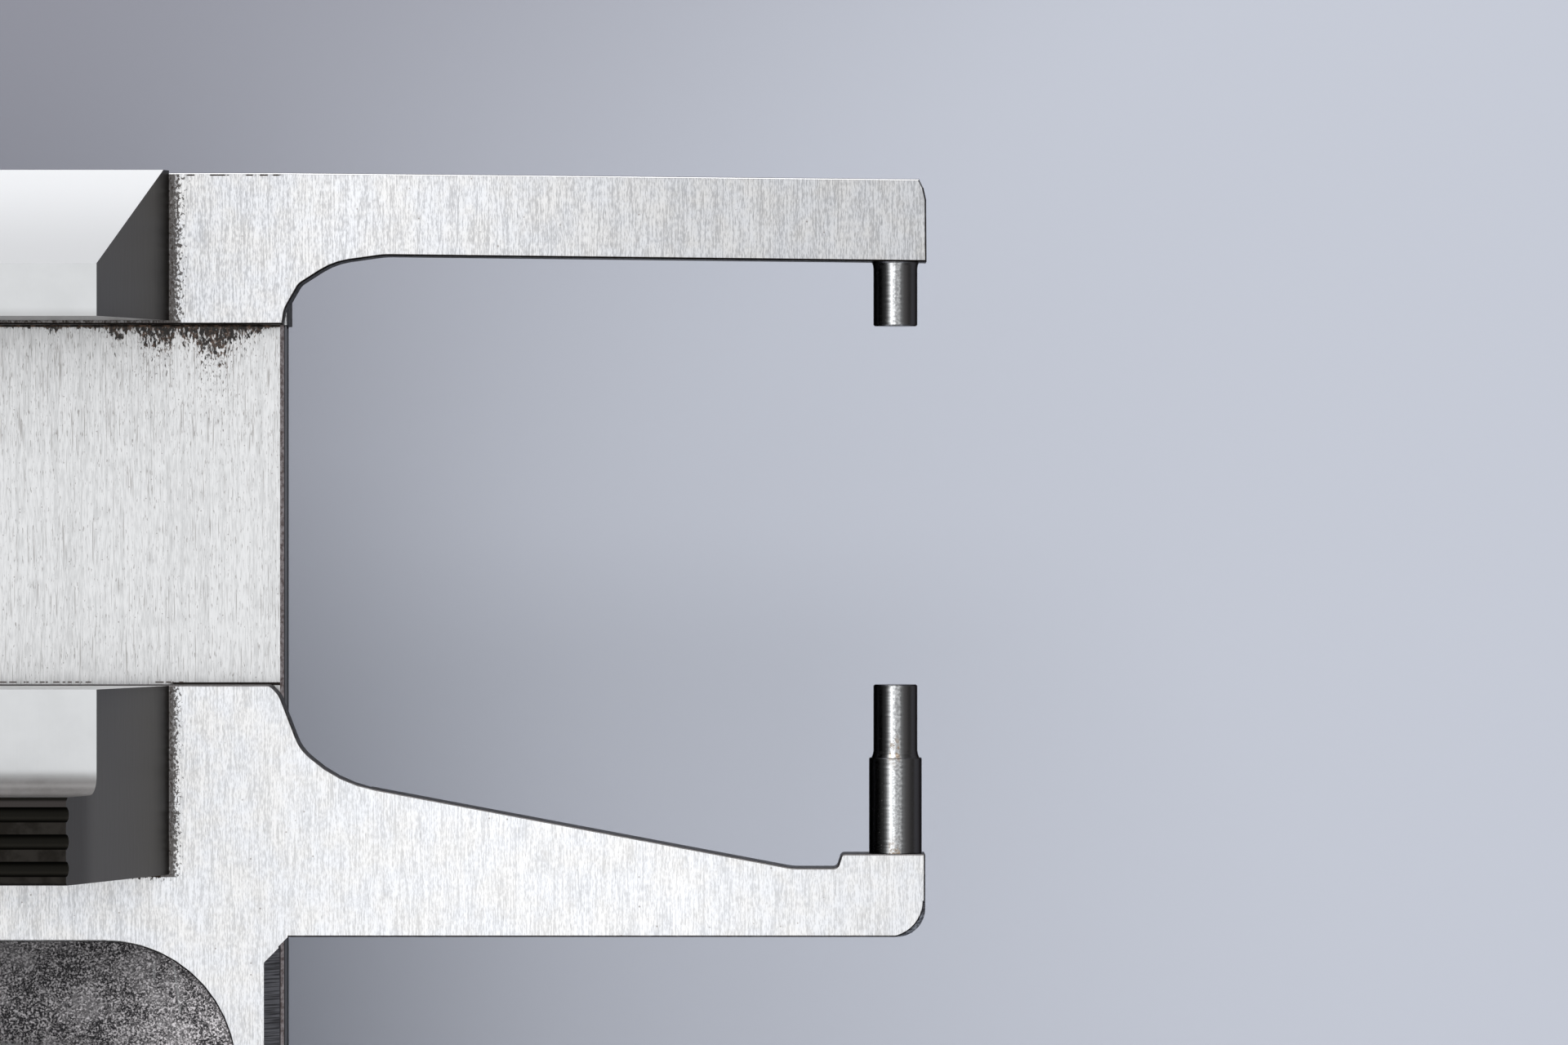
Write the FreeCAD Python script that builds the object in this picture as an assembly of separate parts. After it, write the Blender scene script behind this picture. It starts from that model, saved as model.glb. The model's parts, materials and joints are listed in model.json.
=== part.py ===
"""Hand gauge for gemstones: a sliding upper jaw over a fixed lower jaw, a thumb lever and a round dial.

Frame: origin on the bench under the dial's axis, +Z up through the dial, +Y the way the upper jaw opens,
+X the way the jaws point. Millimetres. The gauge lies on its back, with the jaws open by STONE_GAP.
"""
import FreeCAD, Part
import math
import os

V = FreeCAD.Vector

# ---- driving dimensions ----------------------------------------------------------------------------------
# measuring range
STONE_GAP = 8.15           # opening between the pins as the gauge is stored
FULL_GAP = 20.0            # largest opening
MM_PER_TURN = 10.0         # slide travel for one turn of the main hand

# slide
SLIDE_W = 15.8
SLIDE_T = 2.0
SLIDE_SIDE_GAP = 0.03      # beside the slide in its channel
SLIDE_FACE_GAP = 0.05      # before and behind the slide
SLIDE_CORNER = 2.4
SLIDE_CHAMFER = 0.085      # along its front edges
TONGUE_SHY = 1.55          # its top end, let into the upper jaw, is this much narrower on each side
TONGUE_H = 3.0
SLIDE_END_WALL = 1.55      # slide left below its slot
SLOT_RIGHT = 2.0           # plain side of the slot, from the centre line
SLOT_SPARE = 0.15          # slot left past the pinion at both ends of the travel
CHANNEL_SPARE = 0.5        # channel left past the slide's foot with the jaws shut

# disc, frame plate and jaws
DISC_R = 26.0              # base disc, and the case behind it
FACE_Z = 10.0              # height of the jaws' front face above the bench
PLATE_T = 3.0              # thickness of frame plate and of the jaws' roots
JAW_T = 1.3                # thickness of the jaws' arms, which are flush in front
WALL_T = 0.9               # frame wall left in front of the slide
ROOT_SIDE = 0.08           # jaws' roots beside the slide
NECK_SHY = 0.07            # neck below the jaw, narrower than the slide on each side
NECK_GUSSET = 0.21         # small gusset where the neck meets the jaw
NECK_OUT = 3.36            # from the disc to the underside of the lower jaw
LOWER_ROOT_H = 5.72        # height of the lower jaw at its root
SEAM_GAP = 0.03            # play left between the jaws' roots when the pins touch
JAW_REACH = 22.5           # tips of both jaws, from the slide's centre line
UPPER_ROOT_H = 3.44        # height of the upper jaw at its root
UPPER_ARM_H = 1.88         # height of the upper jaw's arm
UPPER_DROOP = 0.14         # its top falls by this from root to tip
UPPER_ROOT_LEAN = 0.05     # its root's bottom corner stands in by this
UPPER_CROOK = (            # line below its root: out from the root, up from its bottom, radius
    (0.0, 0.345, 0.6), (0.32, 0.905, 0.3), (1.095, 1.4, 1.6), (2.24, 1.56, 2.0))
UPPER_TIP_OUT = 0.03       # its bottom corner past the reach
UPPER_TIP_CUTS = ((0.02, 0.47), (-0.04, 0.2), (-0.14, 0.0))   # its worn top corner: out from the reach, and down
LOWER_TIP_H = 1.89         # height of the lower jaw's pad under the pin
LOWER_DIP = 0.32           # hollow behind the pad
DIP_RUN = (1.1, 1.5)       # hollow's length, and the radius that leads into it
DIP_STEP = (0.1, 0.12)     # width of the step up to the pad, and the radius below it
LOWER_CROOK = (            # line from root to arm: out from the root, up from the jaw's underside, radius
    (-0.12, 5.51, 0.6), (0.348, 4.295, 1.0), (1.215, 3.513, 3.0))
ROOT_CORNER = (0.33, 0.2)  # its root's top corner: in from the root's side, radius
SEAM_CORNER_R = 0.25       # the other corner of the frame's top edge
PAD_BESIDE = 1.23          # pad's inner end, from the pins' axis
STEP_CORNER_R = 0.1        # its corners
TIP_EDGE_R = 0.03          # upper outer corner of the lower jaw
TIP_CORNER_R = 0.63        # and its lower outer corner
TIP_FILE = (0.88, 0.83, 0.82, 0.5, 0.3)   # crescent filed off its front: axis in, up, radius, spread, depth
EDGE_R = 0.045             # broken edges of the jaws
LUG_W = 2.6                # guide lug beside the neck, opposite the jaw
LUG_SHY = 1.4              # its top below the frame's top edge
LUG_CORNER_R = 0.8
NECK_BEVEL_W = 0.33        # bevel on the neck's long edges, across
NECK_BEVEL_DROP = 0.5      # and down
NECK_BEVEL_SHY = 0.04      # its end below the gusset

# measuring pins
PIN_IN = 0.67              # axis of both pins, in from the jaws' tips
PIN_R = 0.5
PIN_BASE_R = 0.6
PIN_STEP = 1.5             # length of the lower pin's thin end
PIN_STEP_CURVE = ((0.015, 0.08), (0.045, 0.16), (0.08, 0.16), (0.1, 0.18))   # below it: out and down
PIN_COLLAR = ((0.01, 0.1), (0.03, 0.05), (0.08, 0.0))   # upper pin's flare: out, and below the jaw
PIN_COLLAR_H = 0.18
PIN_SPOT = 0.03            # depth of the flat faced in the upper jaw for its collar
PIN_TIP_CHAMFER = 0.03
PIN_TENON_R = 0.35         # pins' tenons in the jaws
PIN_SEAT = 1.2             # and their depth

# grip blocks on the front of both jaws
BLOCK_W = 10.7             # width at the jaw's face
BLOCK_H = 4.4              # height above the jaw's face
BLOCK_SLOPE = 1.3 / 4.4    # how far each side leans in, for each millimetre of height
UPPER_BLOCK_SHY = 0.09     # upper block above the seam
UPPER_BLOCK_FLAT = 1.17    # flat front of the upper block, below its bevel
UPPER_BLOCK_PROUD = 0.05   # upper block above the jaw's top edge
UPPER_BLOCK_HEEL = 0.35    # height of its upright back, behind the bevel
REST_SHY = 0.02            # finger rest below the seam
REST_DEPTH = 4.28          # finger rest along the slide
REST_LEDGE = 2.34          # ledge below the finger rest's top
REST_LIP_H = 6.2           # its lip above the jaw's face
REST_HOLLOW_R = 0.4        # hollow corner under the finger
REST_EDGE = 0.1            # broken edge of the lip above the ledge
REST_LOW_EDGE = 0.06       # and below
LIP_GROOVES = 3
LIP_GROOVE_FIRST = 0.38    # from the ledge
LIP_GROOVE_PITCH = 0.6
LIP_GROOVE_R = 0.17

# inlay plate in the neck
INLAY_SIDE = 0.94          # neck left beside it
INLAY_TOP_SHY = 0.06       # its top below the jaw
INLAY_H = 4.1
INLAY_POCKET = 0.5         # depth of the pocket
INLAY_T = 0.32
INLAY_CORNER_R = 3.0
INLAY_GAP = 0.05

# countersunk screws: shank radius, head radius, head height, bite in the piece they hold on to
JAW_SCREW = (0.6, 1.1, 0.6, 1.5)
REST_SCREW = (0.55, 1.0, 0.5, 2.0)
KEEPER_SCREW = (0.4, 0.62, 0.35, 1.7)
RETAINER_SCREW = (0.45, 0.8, 0.4, 1.4)
CASE_SCREW = (0.8, 1.5, 0.6, 1.9)
SEAT_SCREW = (0.4, 0.7, 0.35, 1.5)
HEAD_RIM = 0.08            # straight rim of their heads
HOLE_SPARE = 0.1           # tapped holes are this much deeper than their screws
SCREW_GAP = 0.05           # round a screw in a plain hole
JAW_SCREW_X = 3.6          # outer screws of the upper jaw, from the centre line
REST_SCREW_X = 2.6
REST_SCREW_Y = 2.0         # below the frame's top edge

# keeper and retainers behind the slide
KEEPER_T = 0.95
KEEPER_UP = 0.09           # above the jaw's underside
KEEPER_H = 3.05
KEEPER_SCREW_OUT = 1.05    # its screws, out from the slide
KEEPER_SCREW_IN = 0.8      # and in from its long edges
KEEPER_END = 0.95          # keeper past its screws
KEEPER_CORNER_R = 0.6
RETAINER_T = 0.8
RETAINER_BITE = 1.0        # how far a retainer reaches over the slide's edge
RETAINER_W = 4.0
RETAINER_H = 4.0
RETAINER_Y = 3.3
RETAINER_SCREW_IN = 1.2    # its screw, in from its outer end
RETAINER_CORNER_R = 0.5

# case
CASE_WALL = 1.4
CASE_EDGE = 0.5            # rounding of its rear edge
COVER_T = 0.8
COVER_GAP = 0.06
COVER_EDGE = 0.12
BOSS_R = 2.0
BOSS_SHY = 0.2             # case bosses in from the wall
BOSS_SIDE = 1.35           # and beside the slide
BOSS_WEB_W = 1.2

# rack, pinion and counter train
RACK_TEETH_PER_TURN = 16
GEAR_MODULE = 0.25
CENTRE_TEETH = 23
COUNTER_TEETH = 69
PRESSURE_ANGLE = math.radians(20)
ADDENDUM = 0.9             # in modules
DEDENDUM = 1.2
BACKLASH = 0.05            # mm, shared by a meshing pair
GEAR_T = 0.8
GEAR_Z = 3.0
CENTRE_HUB = (1.3, 0.6)    # radius and height of the gears' hubs
COUNTER_HUB = (1.4, 0.5)
WHEEL_RIM_W = 1.4          # counter wheel's rim inside its pitch circle
WHEEL_HUB_R = 2.2
SPOKE_W = 1.2
ARBOR_R = 0.6
PIVOT_R = 0.35
PIVOT_PAST = 0.1           # pivots past their bearings
END_SHAKE = 0.15           # between an arbor's shoulder and its bearing
BEARING_GAP = 0.03
BUSH_R = 1.1
BUSH_PROUD = 0.4           # front bushes above the face
REAR_BUSH_PROUD = 0.1

# movement bridge
BRIDGE_Z = 1.6
BRIDGE_T = 0.8
BRIDGE_MARGIN = 2.2
PILLAR_R = 1.3
LEFT_PILLAR = (0.65, 7.0)  # beside the slide, and up from the dial's axis
RIGHT_PILLARS = ((1.0, 11.5), (2.0, -11.5))   # out and up from the counter's axis
BRIDGE_SCREW_R = 0.45
BRIDGE_HEAD = (0.85, 0.5)  # radius and height of its screws' heads
BRIDGE_SCREW_BITE = 1.4
HEAD_SLOT = (0.26, 0.22)   # width and depth of their slots

# dial and hands
DIAL_LIFT = 2.2            # dial's back above the base disc
DIAL_T = 0.5
INNER_DIAL_R = 17.1
DIAL_GAP = 0.2             # between inner dial and scale ring
DIAL_HOLE_GAP = 0.3        # round the arbors
DIAL_POST_R = 1.1
DIAL_POST_RADIUS = 13.0
DIAL_POST_ANGLES = (90, 210, 330)
HAND_SHY = 2.8             # main hand's point inside the bezel's lip
HAND_TAIL = 6.0
HAND_W = 1.1
HAND_T = 0.2
HAND_RISE = 0.65           # main hand above the dial
HAND_HUB_R = 1.3
HAND_CAP = (1.2, 1.05, 0.2, 0.25)   # boss on the main hand: lower and upper radius, edge and top height
COUNTER_HAND_LEN = 3.6
COUNTER_HAND_TAIL = 1.7
COUNTER_HAND_W = 0.5
COUNTER_HAND_T = 0.15
COUNTER_HAND_HUB_R = 0.65
COUNTER_HAND_RISE = 0.25

# seat, bezel and crystal
SEAT_SHY = 0.4             # seat ring in from the disc's edge
SEAT_W = 2.0
SEAT_H = 2.1
SEAT_SCREW_IN = 0.15       # its screws, in from the middle of the ring
SEAT_SCREW_ANGLES = (25, 155, 205, 335)
SNAP_W = 0.4
SNAP_Z = 0.95              # snap ring above the base disc
SNAP_PLAY = 0.05
SNAP_OPEN = 3.0            # gap in the snap ring
BEZEL_PLAY = 0.05          # bezel round its seat
BEZEL_FLOAT = 0.1          # bezel above the base disc
BEZEL_TOP = 5.5            # above the base disc
BEZEL_FLANGE_OUT = 1.48    # flange outside the seat
BEZEL_FLANGE_H = 1.0
BEZEL_BAND_IN = 0.38       # coin edge inside the flange
BEZEL_BORE_IN = 0.7        # bore inside the seat
BEZEL_LIP = 0.6            # lip over the crystal's rim
BEZEL_EDGE = 0.15
BEZEL_SHOULDER_H = 1.6     # slope above the coin edge
BEZEL_BREAK = (1.0, 0.9)   # where the slope changes: in from the flange's edge, below the top
BEZEL_CROWN = (0.7, 0.2)   # flat top: its outer and inner edges outside the lip's bore
SNAP_GROOVE = 0.35         # bezel's groove for the snap ring, past the seat
COIN_GROOVES = 90
COIN_GROOVE_R = 0.32
COIN_GROOVE_OUT = 0.144    # their centres outside the coin edge
COIN_SHY = 0.2             # grooves stop short of the flange and the slope
FIT_GAP = 0.02             # dial ring, gasket and crystal in the bezel's bore
CRYSTAL_T = 1.0
CRYSTAL_DROP = 0.45        # crystal's rim below the bezel's top
CRYSTAL_DOME = 0.25
CRYSTAL_RIM = 0.1          # dome starts this far inside the lip

# thumb lever
LEVER_PIVOT_IN = 8.6       # pivot in from the case's inner wall, across
DRIVE_PIN_X = 4.0
DRIVE_PIN_R = 0.75
DRIVE_PIN_PAST = 0.15      # below the lever
LEVER_T = 1.5
LEVER_Z = 4.6
LEVER_SLOT_GAP = 0.3       # beside the drive pin, for the lever's arc
LEVER_SLOT_SPARE = 0.4     # slot behind the drive pin
LEVER_RATIO_EASE = 1.02    # lever's even pace against its true angle at the ends
LEVER_ARM_W = 2.8
LEVER_FORK_W = 4.2
LEVER_FORK_BACK = 2.6      # fork behind its slot
LEVER_FORK_PAST = 0.9      # fork past the drive pin's farthest place
LEVER_FORK_CORNER_R = 1.0
LEVER_HUB_R = 3.0
LEVER_OUT = 26.0           # outer end of the lever from its pivot
LEVER_POST_R = 1.5
LEVER_POST_THIN_R = 1.2    # below the lever, inside the spring
LEVER_POST_EDGE = 0.1
LEVER_POST_UP = 0.6        # its end above the cover
LEVER_TENON_R = 0.9
LEVER_CLIP_R = 2.5
LEVER_CLIP_T = 0.25
LEVER_CLIP_OPEN = 0.9
LEVER_SLOT_PLAY = 0.25     # window in the case round the lever
LEVER_SWING_SPARE = 1.5    # degrees
PAD_LEN = 11.0
PAD_W = 8.0
PAD_T = 1.5
PAD_CURL = 0.7             # its ends above its middle
PAD_CORNER_R = 1.6
PAD_STAND = 0.5            # pad's underside clear of the lever's arm
PAD_PAST = 0.6             # pad past its seat at both ends
PAD_GROOVES = 7
PAD_GROOVE_PITCH = 1.25
PAD_GROOVE_R = 0.28
PAD_GROOVE_LIFT = 0.05     # their centres above the pad's face
PAD_RIVET_R = 0.5
PAD_RIVET_SPAN = 5.2
PAD_RIVET_LOW = 0.4        # their inner ends above the lever's centre line
PAD_RIVET_PROUD = 0.02
POST_BITE = 1.1            # small posts in the frame plate
STOP_BESIDE = 0.43         # stop post, clear of the slide
STOP_GAP = 0.06            # between it and the lever at the full opening
STOP_LOW = 0.2             # its end below the lever's underside

# springs
SPRING_WIRE_R = 0.2
SPRING_COIL_R = 2.0
SPRING_COILS = 4.5         # whole coils between parallel legs
SPRING_PITCH = 0.46
SPRING_GAP = 0.05          # under the clip
SPRING_POST_R = 0.6
SPRING_POST_UP = 0.5       # anchor post's end above the cover
SPRING_PIN_R = 0.48
SPRING_PIN_LOW = 1.1       # moving leg's pin below the lever
SPRING_ANCHOR = (5.5, math.radians(-50))   # fixed leg's post: distance and direction from the lever's pivot
SPRING_PIN_ALONG = 5.3     # moving leg's pin, along the lever
SPRING_LEG_PAST = 0.9      # legs run this far past what they push on
HAIRSPRING_T = 0.12
HAIRSPRING_H = 0.3
HAIRSPRING_TURNS = 4
HAIRSPRING_PITCH = 0.7
HAIRSPRING_UP = 0.15       # above the bridge
COLLET_R = 1.05
COLLET_H = 0.4
STUD_R = 0.35

PAST = 1.0                 # cutting tools run this far past what they cut
BEVEL_PAST = 0.02

# ---- worked-out sizes ------------------------------------------------------------------------------------
BACK_Z = FACE_Z - PLATE_T
CHANNEL_Z = FACE_Z - WALL_T
SLIDE_FRONT_Z = CHANNEL_Z - SLIDE_FACE_GAP
SLIDE_BACK_Z = SLIDE_FRONT_Z - SLIDE_T
JAW_BACK_Z = FACE_Z - JAW_T
PIN_Z = FACE_Z - JAW_T / 2
PIN_X = JAW_REACH - PIN_IN
SLIDE_HALF = SLIDE_W / 2
CHANNEL_HALF = SLIDE_HALF + SLIDE_SIDE_GAP
ROOT_HALF = SLIDE_HALF + ROOT_SIDE
NECK_HALF = SLIDE_HALF - NECK_SHY
DISC_EDGE_Y = math.sqrt(DISC_R ** 2 - NECK_HALF ** 2)   # where the neck leaves the disc
LOWER_JAW_Y = DISC_R + NECK_OUT                  # underside of the lower jaw
SEAM_Y = LOWER_JAW_Y + LOWER_ROOT_H              # top edge of the frame, where the upper jaw closes
UPPER_Y = SEAM_Y + STONE_GAP + SEAM_GAP          # underside of the upper jaw's root
UPPER_TOP = UPPER_Y + UPPER_ROOT_H
UPPER_ARM_Y = UPPER_TOP - UPPER_DROOP - UPPER_ARM_H      # underside of its arm at the tip
UPPER_SEAT_Y = UPPER_ARM_Y + PIN_SPOT
LOWER_PAD_Y = LOWER_JAW_Y + LOWER_TIP_H
INLAY_TOP_Y = LOWER_JAW_Y - INLAY_TOP_SHY
INLAY_LOW_Y = INLAY_TOP_Y - INLAY_H
KEEPER_LOW_Y = LOWER_JAW_Y + KEEPER_UP
KEEPER_TOP_Y = KEEPER_LOW_Y + KEEPER_H
KEEPER_SCREW_X = SLIDE_HALF + KEEPER_SCREW_OUT
KEEPER_HALF = KEEPER_SCREW_X + KEEPER_END
LUG_TOP_Y = SEAM_Y - LUG_SHY

PINION_R = MM_PER_TURN / (2 * math.pi)
RACK_MODULE = 2 * PINION_R / RACK_TEETH_PER_TURN
PINION_TIP_R = PINION_R + ADDENDUM * RACK_MODULE
COUNTER_X = GEAR_MODULE * (CENTRE_TEETH + COUNTER_TEETH) / 2
OPEN_MORE = FULL_GAP - STONE_GAP
HALF_TRAVEL = FULL_GAP / 2
MID_SHIFT = OPEN_MORE - HALF_TRAVEL              # slide travel from rest to the lever's level place
SLOT_LOW = -OPEN_MORE - PINION_TIP_R - SLOT_SPARE
SLOT_HIGH = STONE_GAP + PINION_TIP_R + SLOT_SPARE
SLIDE_LOW = SLOT_LOW - SLIDE_END_WALL
DRIVE_PIN_Y = SLOT_LOW

CASE_IN_R = DISC_R - CASE_WALL
BOSS_X = SLIDE_HALF + BOSS_R + BOSS_SIDE
BOSS_Y = math.sqrt((CASE_IN_R - BOSS_R - BOSS_SHY) ** 2 - BOSS_X ** 2)
BOSSES = [(sx * BOSS_X, sy * BOSS_Y) for sx in (-1, 1) for sy in (-1, 1)]
PILLARS = [(-SLIDE_HALF - PILLAR_R - LEFT_PILLAR[0], LEFT_PILLAR[1])]
PILLARS += [(COUNTER_X + out, up) for out, up in RIGHT_PILLARS]

DIAL_Z = FACE_Z + DIAL_LIFT
DIAL_FACE_Z = DIAL_Z + DIAL_T
SEAT_R = DISC_R - SEAT_SHY
SEAT_IN_R = SEAT_R - SEAT_W
BEZEL_R = SEAT_R + BEZEL_FLANGE_OUT
BEZEL_BAND_R = BEZEL_R - BEZEL_BAND_IN
BEZEL_BORE_R = SEAT_R - BEZEL_BORE_IN
BEZEL_LIP_R = BEZEL_BORE_R - BEZEL_LIP
CRYSTAL_TOP = FACE_Z + BEZEL_TOP - CRYSTAL_DROP
HAND_ANGLE = 2 * math.pi * STONE_GAP / MM_PER_TURN                # clockwise from +Y
COUNTER_ANGLE = HAND_ANGLE * CENTRE_TEETH / COUNTER_TEETH         # anticlockwise from +Y

LEVER_PIVOT = (LEVER_PIVOT_IN - CASE_IN_R, DRIVE_PIN_Y + MID_SHIFT)
LEVER_ARM = DRIVE_PIN_X - LEVER_PIVOT[0]
LEVER_PER_MM = math.atan(HALF_TRAVEL / LEVER_ARM) / HALF_TRAVEL * LEVER_RATIO_EASE
LEVER_REST = -LEVER_PER_MM * MID_SHIFT
LEVER_CLIP_Z = LEVER_Z - BEARING_GAP
PAD_SEAT_Y = LEVER_ARM_W / 2 + PAD_STAND         # pad's underside above the lever's centre line
HAIRSPRING_Z = BRIDGE_Z + BRIDGE_T + HAIRSPRING_UP


# ---- small builders --------------------------------------------------------------------------------------
def block(x0, x1, y0, y1, z0, z1):
    return Part.makeBox(x1 - x0, y1 - y0, z1 - z0, V(x0, y0, z0))


def rod(x, y, z0, z1, r):
    return Part.makeCylinder(r, z1 - z0, V(x, y, z0))


def tube(x, y, z0, z1, outer, inner):
    return rod(x, y, z0, z1, outer).cut(rod(x, y, z0 - PAST, z1 + PAST, inner))


def turn(solid, radians):
    solid.rotate(V(0, 0, 0), V(0, 0, 1), math.degrees(radians))
    return solid


def outline(start, *steps):
    """Closed wire at height 0. A step is a point for a line, or (middle, end) for an arc."""
    edges = []
    here = V(*start, 0)
    for step in steps:
        if isinstance(step[0], tuple):
            middle, end = V(*step[0], 0), V(*step[1], 0)
            edges.append(Part.Arc(here, middle, end).toShape())
        else:
            end = V(*step, 0)
            edges.append(Part.LineSegment(here, end).toShape())
        here = end
    if (here - V(*start, 0)).Length > 1e-6:
        edges.append(Part.LineSegment(here, V(*start, 0)).toShape())
    return Part.Wire(edges)


def rounded_outline(corners):
    """Closed wire at height 0 through (x, y, radius) corners, each rounded by a tangent arc."""
    spots = []
    for k, (x, y, r) in enumerate(corners):
        here = V(x, y, 0)
        if not r:
            spots.append((here, None, here))
            continue
        back = (V(*corners[k - 1][:2], 0) - here).normalize()
        ahead = (V(*corners[(k + 1) % len(corners)][:2], 0) - here).normalize()
        half = back.getAngle(ahead) / 2
        middle = here + (back + ahead).normalize() * (r / math.sin(half) - r)
        spots.append((here + back * (r / math.tan(half)), middle, here + ahead * (r / math.tan(half))))
    edges = []
    for k, (start, middle, end) in enumerate(spots):
        if middle is not None:
            edges.append(Part.Arc(start, middle, end).toShape())
        edges.append(Part.LineSegment(end, spots[(k + 1) % len(spots)][0]).toShape())
    return Part.Wire(edges)


def slab(wire, z0, z1):
    solid = Part.Face(wire).extrude(V(0, 0, z1 - z0))
    solid.translate(V(0, 0, z0))
    return solid


def round_box(x0, x1, y0, y1, z0, z1, r):
    """A box whose upright edges are rounded."""
    solid = block(x0, x1, y0, y1, z0, z1)
    upright = [e for e in solid.Edges if abs(e.Vertexes[0].Z - e.Vertexes[1].Z) > 1e-6]
    return solid.makeFillet(r, upright)


def turned(profile, x=0.0, y=0.0):
    """A solid turned about an upright axis from (radius, height) points."""
    wire = Part.makePolygon([V(r, 0, z) for r, z in profile] + [V(profile[0][0], 0, profile[0][1])])
    solid = Part.Face(wire).revolve(V(0, 0, 0), V(0, 0, 1), 360)
    solid.translate(V(x, y, 0))
    return solid


def csk_screw(x, y, z_head, screw, through, up):
    """Countersunk screw with a slotted head at z_head; its shank points up (+1) or down (-1)."""
    r, head_r, head_h, bite = screw
    length = through + bite
    profile = [(0, 0), (head_r, 0), (head_r, HEAD_RIM), (r, head_h), (r, length), (0, length)]
    solid = turned([(a, b * up + z_head) for a, b in profile], x, y)
    depth = head_h * 0.45
    half = r * 0.28
    low = z_head if up > 0 else z_head - depth
    return solid.cut(block(x - head_r, x + head_r, y - half, y + half, low, low + depth))


def csk_screws(places, z_head, screw, through, up):
    return Part.makeCompound([csk_screw(x, y, z_head, screw, through, up) for x, y in places])


def csk_holes(places, z_head, screw, through, up):
    """Cutters for the seats of csk_screws, open past the heads and right through."""
    r, head_r, head_h, _ = screw
    end = through + PAST
    profile = [(0, -PAST), (head_r, -PAST), (head_r, HEAD_RIM), (r, head_h), (r, end), (0, end)]
    return [turned([(a, b * up + z_head) for a, b in profile], x, y) for x, y in places]


def tapped_holes(places, r, bite, face_z, up=1):
    """Cutters for the holes that screws or posts bite into, from a face at face_z."""
    depth = bite + HOLE_SPARE
    low, high = (face_z - PAST, face_z + depth) if up > 0 else (face_z - depth, face_z + PAST)
    return [rod(x, y, low, high, r) for x, y in places]


def leaned_sides(y0, y1, z0, z1):
    """Prism as wide as a grip block at the jaw's face, whose sides lean in with height."""
    half = BLOCK_W / 2
    top = half - BLOCK_SLOPE * (z1 - z0)
    corners = ((-half, z0), (half, z0), (top, z1), (-top, z1), (-half, z0))
    return Part.Face(Part.makePolygon([V(x, y0, z) for x, z in corners])).extrude(V(0, y1 - y0, 0))


def from_side(points, half):
    """Prism across the gauge from (y, z) points, where a step may be an arc (middle, end)."""
    wire = outline(points[0], *points[1:])
    solid = Part.Face(wire).extrude(V(0, 0, 2 * half))
    solid.rotate(V(0, 0, 0), V(1, 1, 1), 120)       # (x, y, z) of the outline becomes (z, x, y)
    solid.translate(V(-half, 0, 0))
    return solid


def eased(solid, radius, chosen):
    """Edges that chosen() picks, rounded."""
    edges = [e for e in solid.Edges if chosen(e)]
    return solid.makeFillet(radius, edges) if edges else solid


def level_at(z):
    """Picks the edges that lie flat at height z."""
    return lambda e: all(abs(v.Z - z) < 1e-6 for v in e.Vertexes) and abs(e.CenterOfMass.z - z) < 1e-6


def involute_gear(teeth, module, z0, z1, phase):
    """Spur gear about the Z axis, with the middle of a tooth at angle phase."""
    pitch = module * teeth / 2
    base = pitch * math.cos(PRESSURE_ANGLE)
    tip = pitch + ADDENDUM * module
    root = pitch - DEDENDUM * module
    half_tooth = math.pi / (2 * teeth) - BACKLASH / (4 * pitch)
    spread = math.tan(PRESSURE_ANGLE) - PRESSURE_ANGLE

    def flank(radius):
        a = math.acos(min(1.0, base / radius))
        return half_tooth + spread - (math.tan(a) - a)

    start = max(base, root)
    side = [(root, flank(start))] if root < base else []
    side += [(r, flank(r)) for r in (start + (tip - start) * k / 4 for k in range(5))]
    points = []
    for tooth in range(teeth):
        centre = phase + 2 * math.pi * tooth / teeth
        points += [(r, centre - a) for r, a in side]
        points += [(r, centre + a) for r, a in reversed(side)]
    polygon = [V(r * math.cos(a), r * math.sin(a), z0) for r, a in points]
    return Part.Face(Part.makePolygon(polygon + polygon[:1])).extrude(V(0, 0, z1 - z0))


# ---- frame plate and what is fixed to its front ----------------------------------------------------------
def lower_jaw_outline():
    low = LOWER_JAW_Y
    tip = LOWER_PAD_Y
    dip = tip - LOWER_DIP
    step_x = PIN_X - PAD_BESIDE
    run, run_r = DIP_RUN
    step, step_r = DIP_STEP
    corner_in, corner_r = ROOT_CORNER
    crook = [(ROOT_HALF + out, low + up, r) for out, up, r in LOWER_CROOK]
    return rounded_outline([
        (-ROOT_HALF, low, 0), (-ROOT_HALF, SEAM_Y, SEAM_CORNER_R), (ROOT_HALF - corner_in, SEAM_Y, corner_r)]
        + crook + [
        (step_x - run, dip, run_r), (step_x - step, dip, step_r), (step_x, tip, STEP_CORNER_R),
        (JAW_REACH, tip, TIP_EDGE_R), (JAW_REACH, low, TIP_CORNER_R), (ROOT_HALF, low, 0)])


def filed_corner():
    """Cutter for the crescent filed off the front of the lower jaw's outer corner."""
    back, up, radius, spread, depth = TIP_FILE
    x = JAW_REACH - back
    y = LOWER_JAW_Y + up
    corner = block(x, JAW_REACH + PAST, LOWER_JAW_Y - PAST, y, FACE_Z - depth, FACE_Z + PAST)
    wide, narrow = radius + spread * depth, radius - spread * PAST
    return corner.cut(Part.makeCone(wide, narrow, depth + PAST, V(x, y, FACE_Z - depth)))


def neck():
    """Neck from the disc to the lower jaw, with a small gusset on each side where they meet."""
    low = LOWER_JAW_Y
    near, far = NECK_HALF, NECK_HALF + NECK_GUSSET
    wire = outline((-near, 0), (near, 0), (near, low - NECK_GUSSET), (far, low), (far, low + PAST),
                   (-far, low + PAST), (-far, low), (-near, low - NECK_GUSSET))
    return slab(wire, BACK_Z, FACE_Z)


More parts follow.
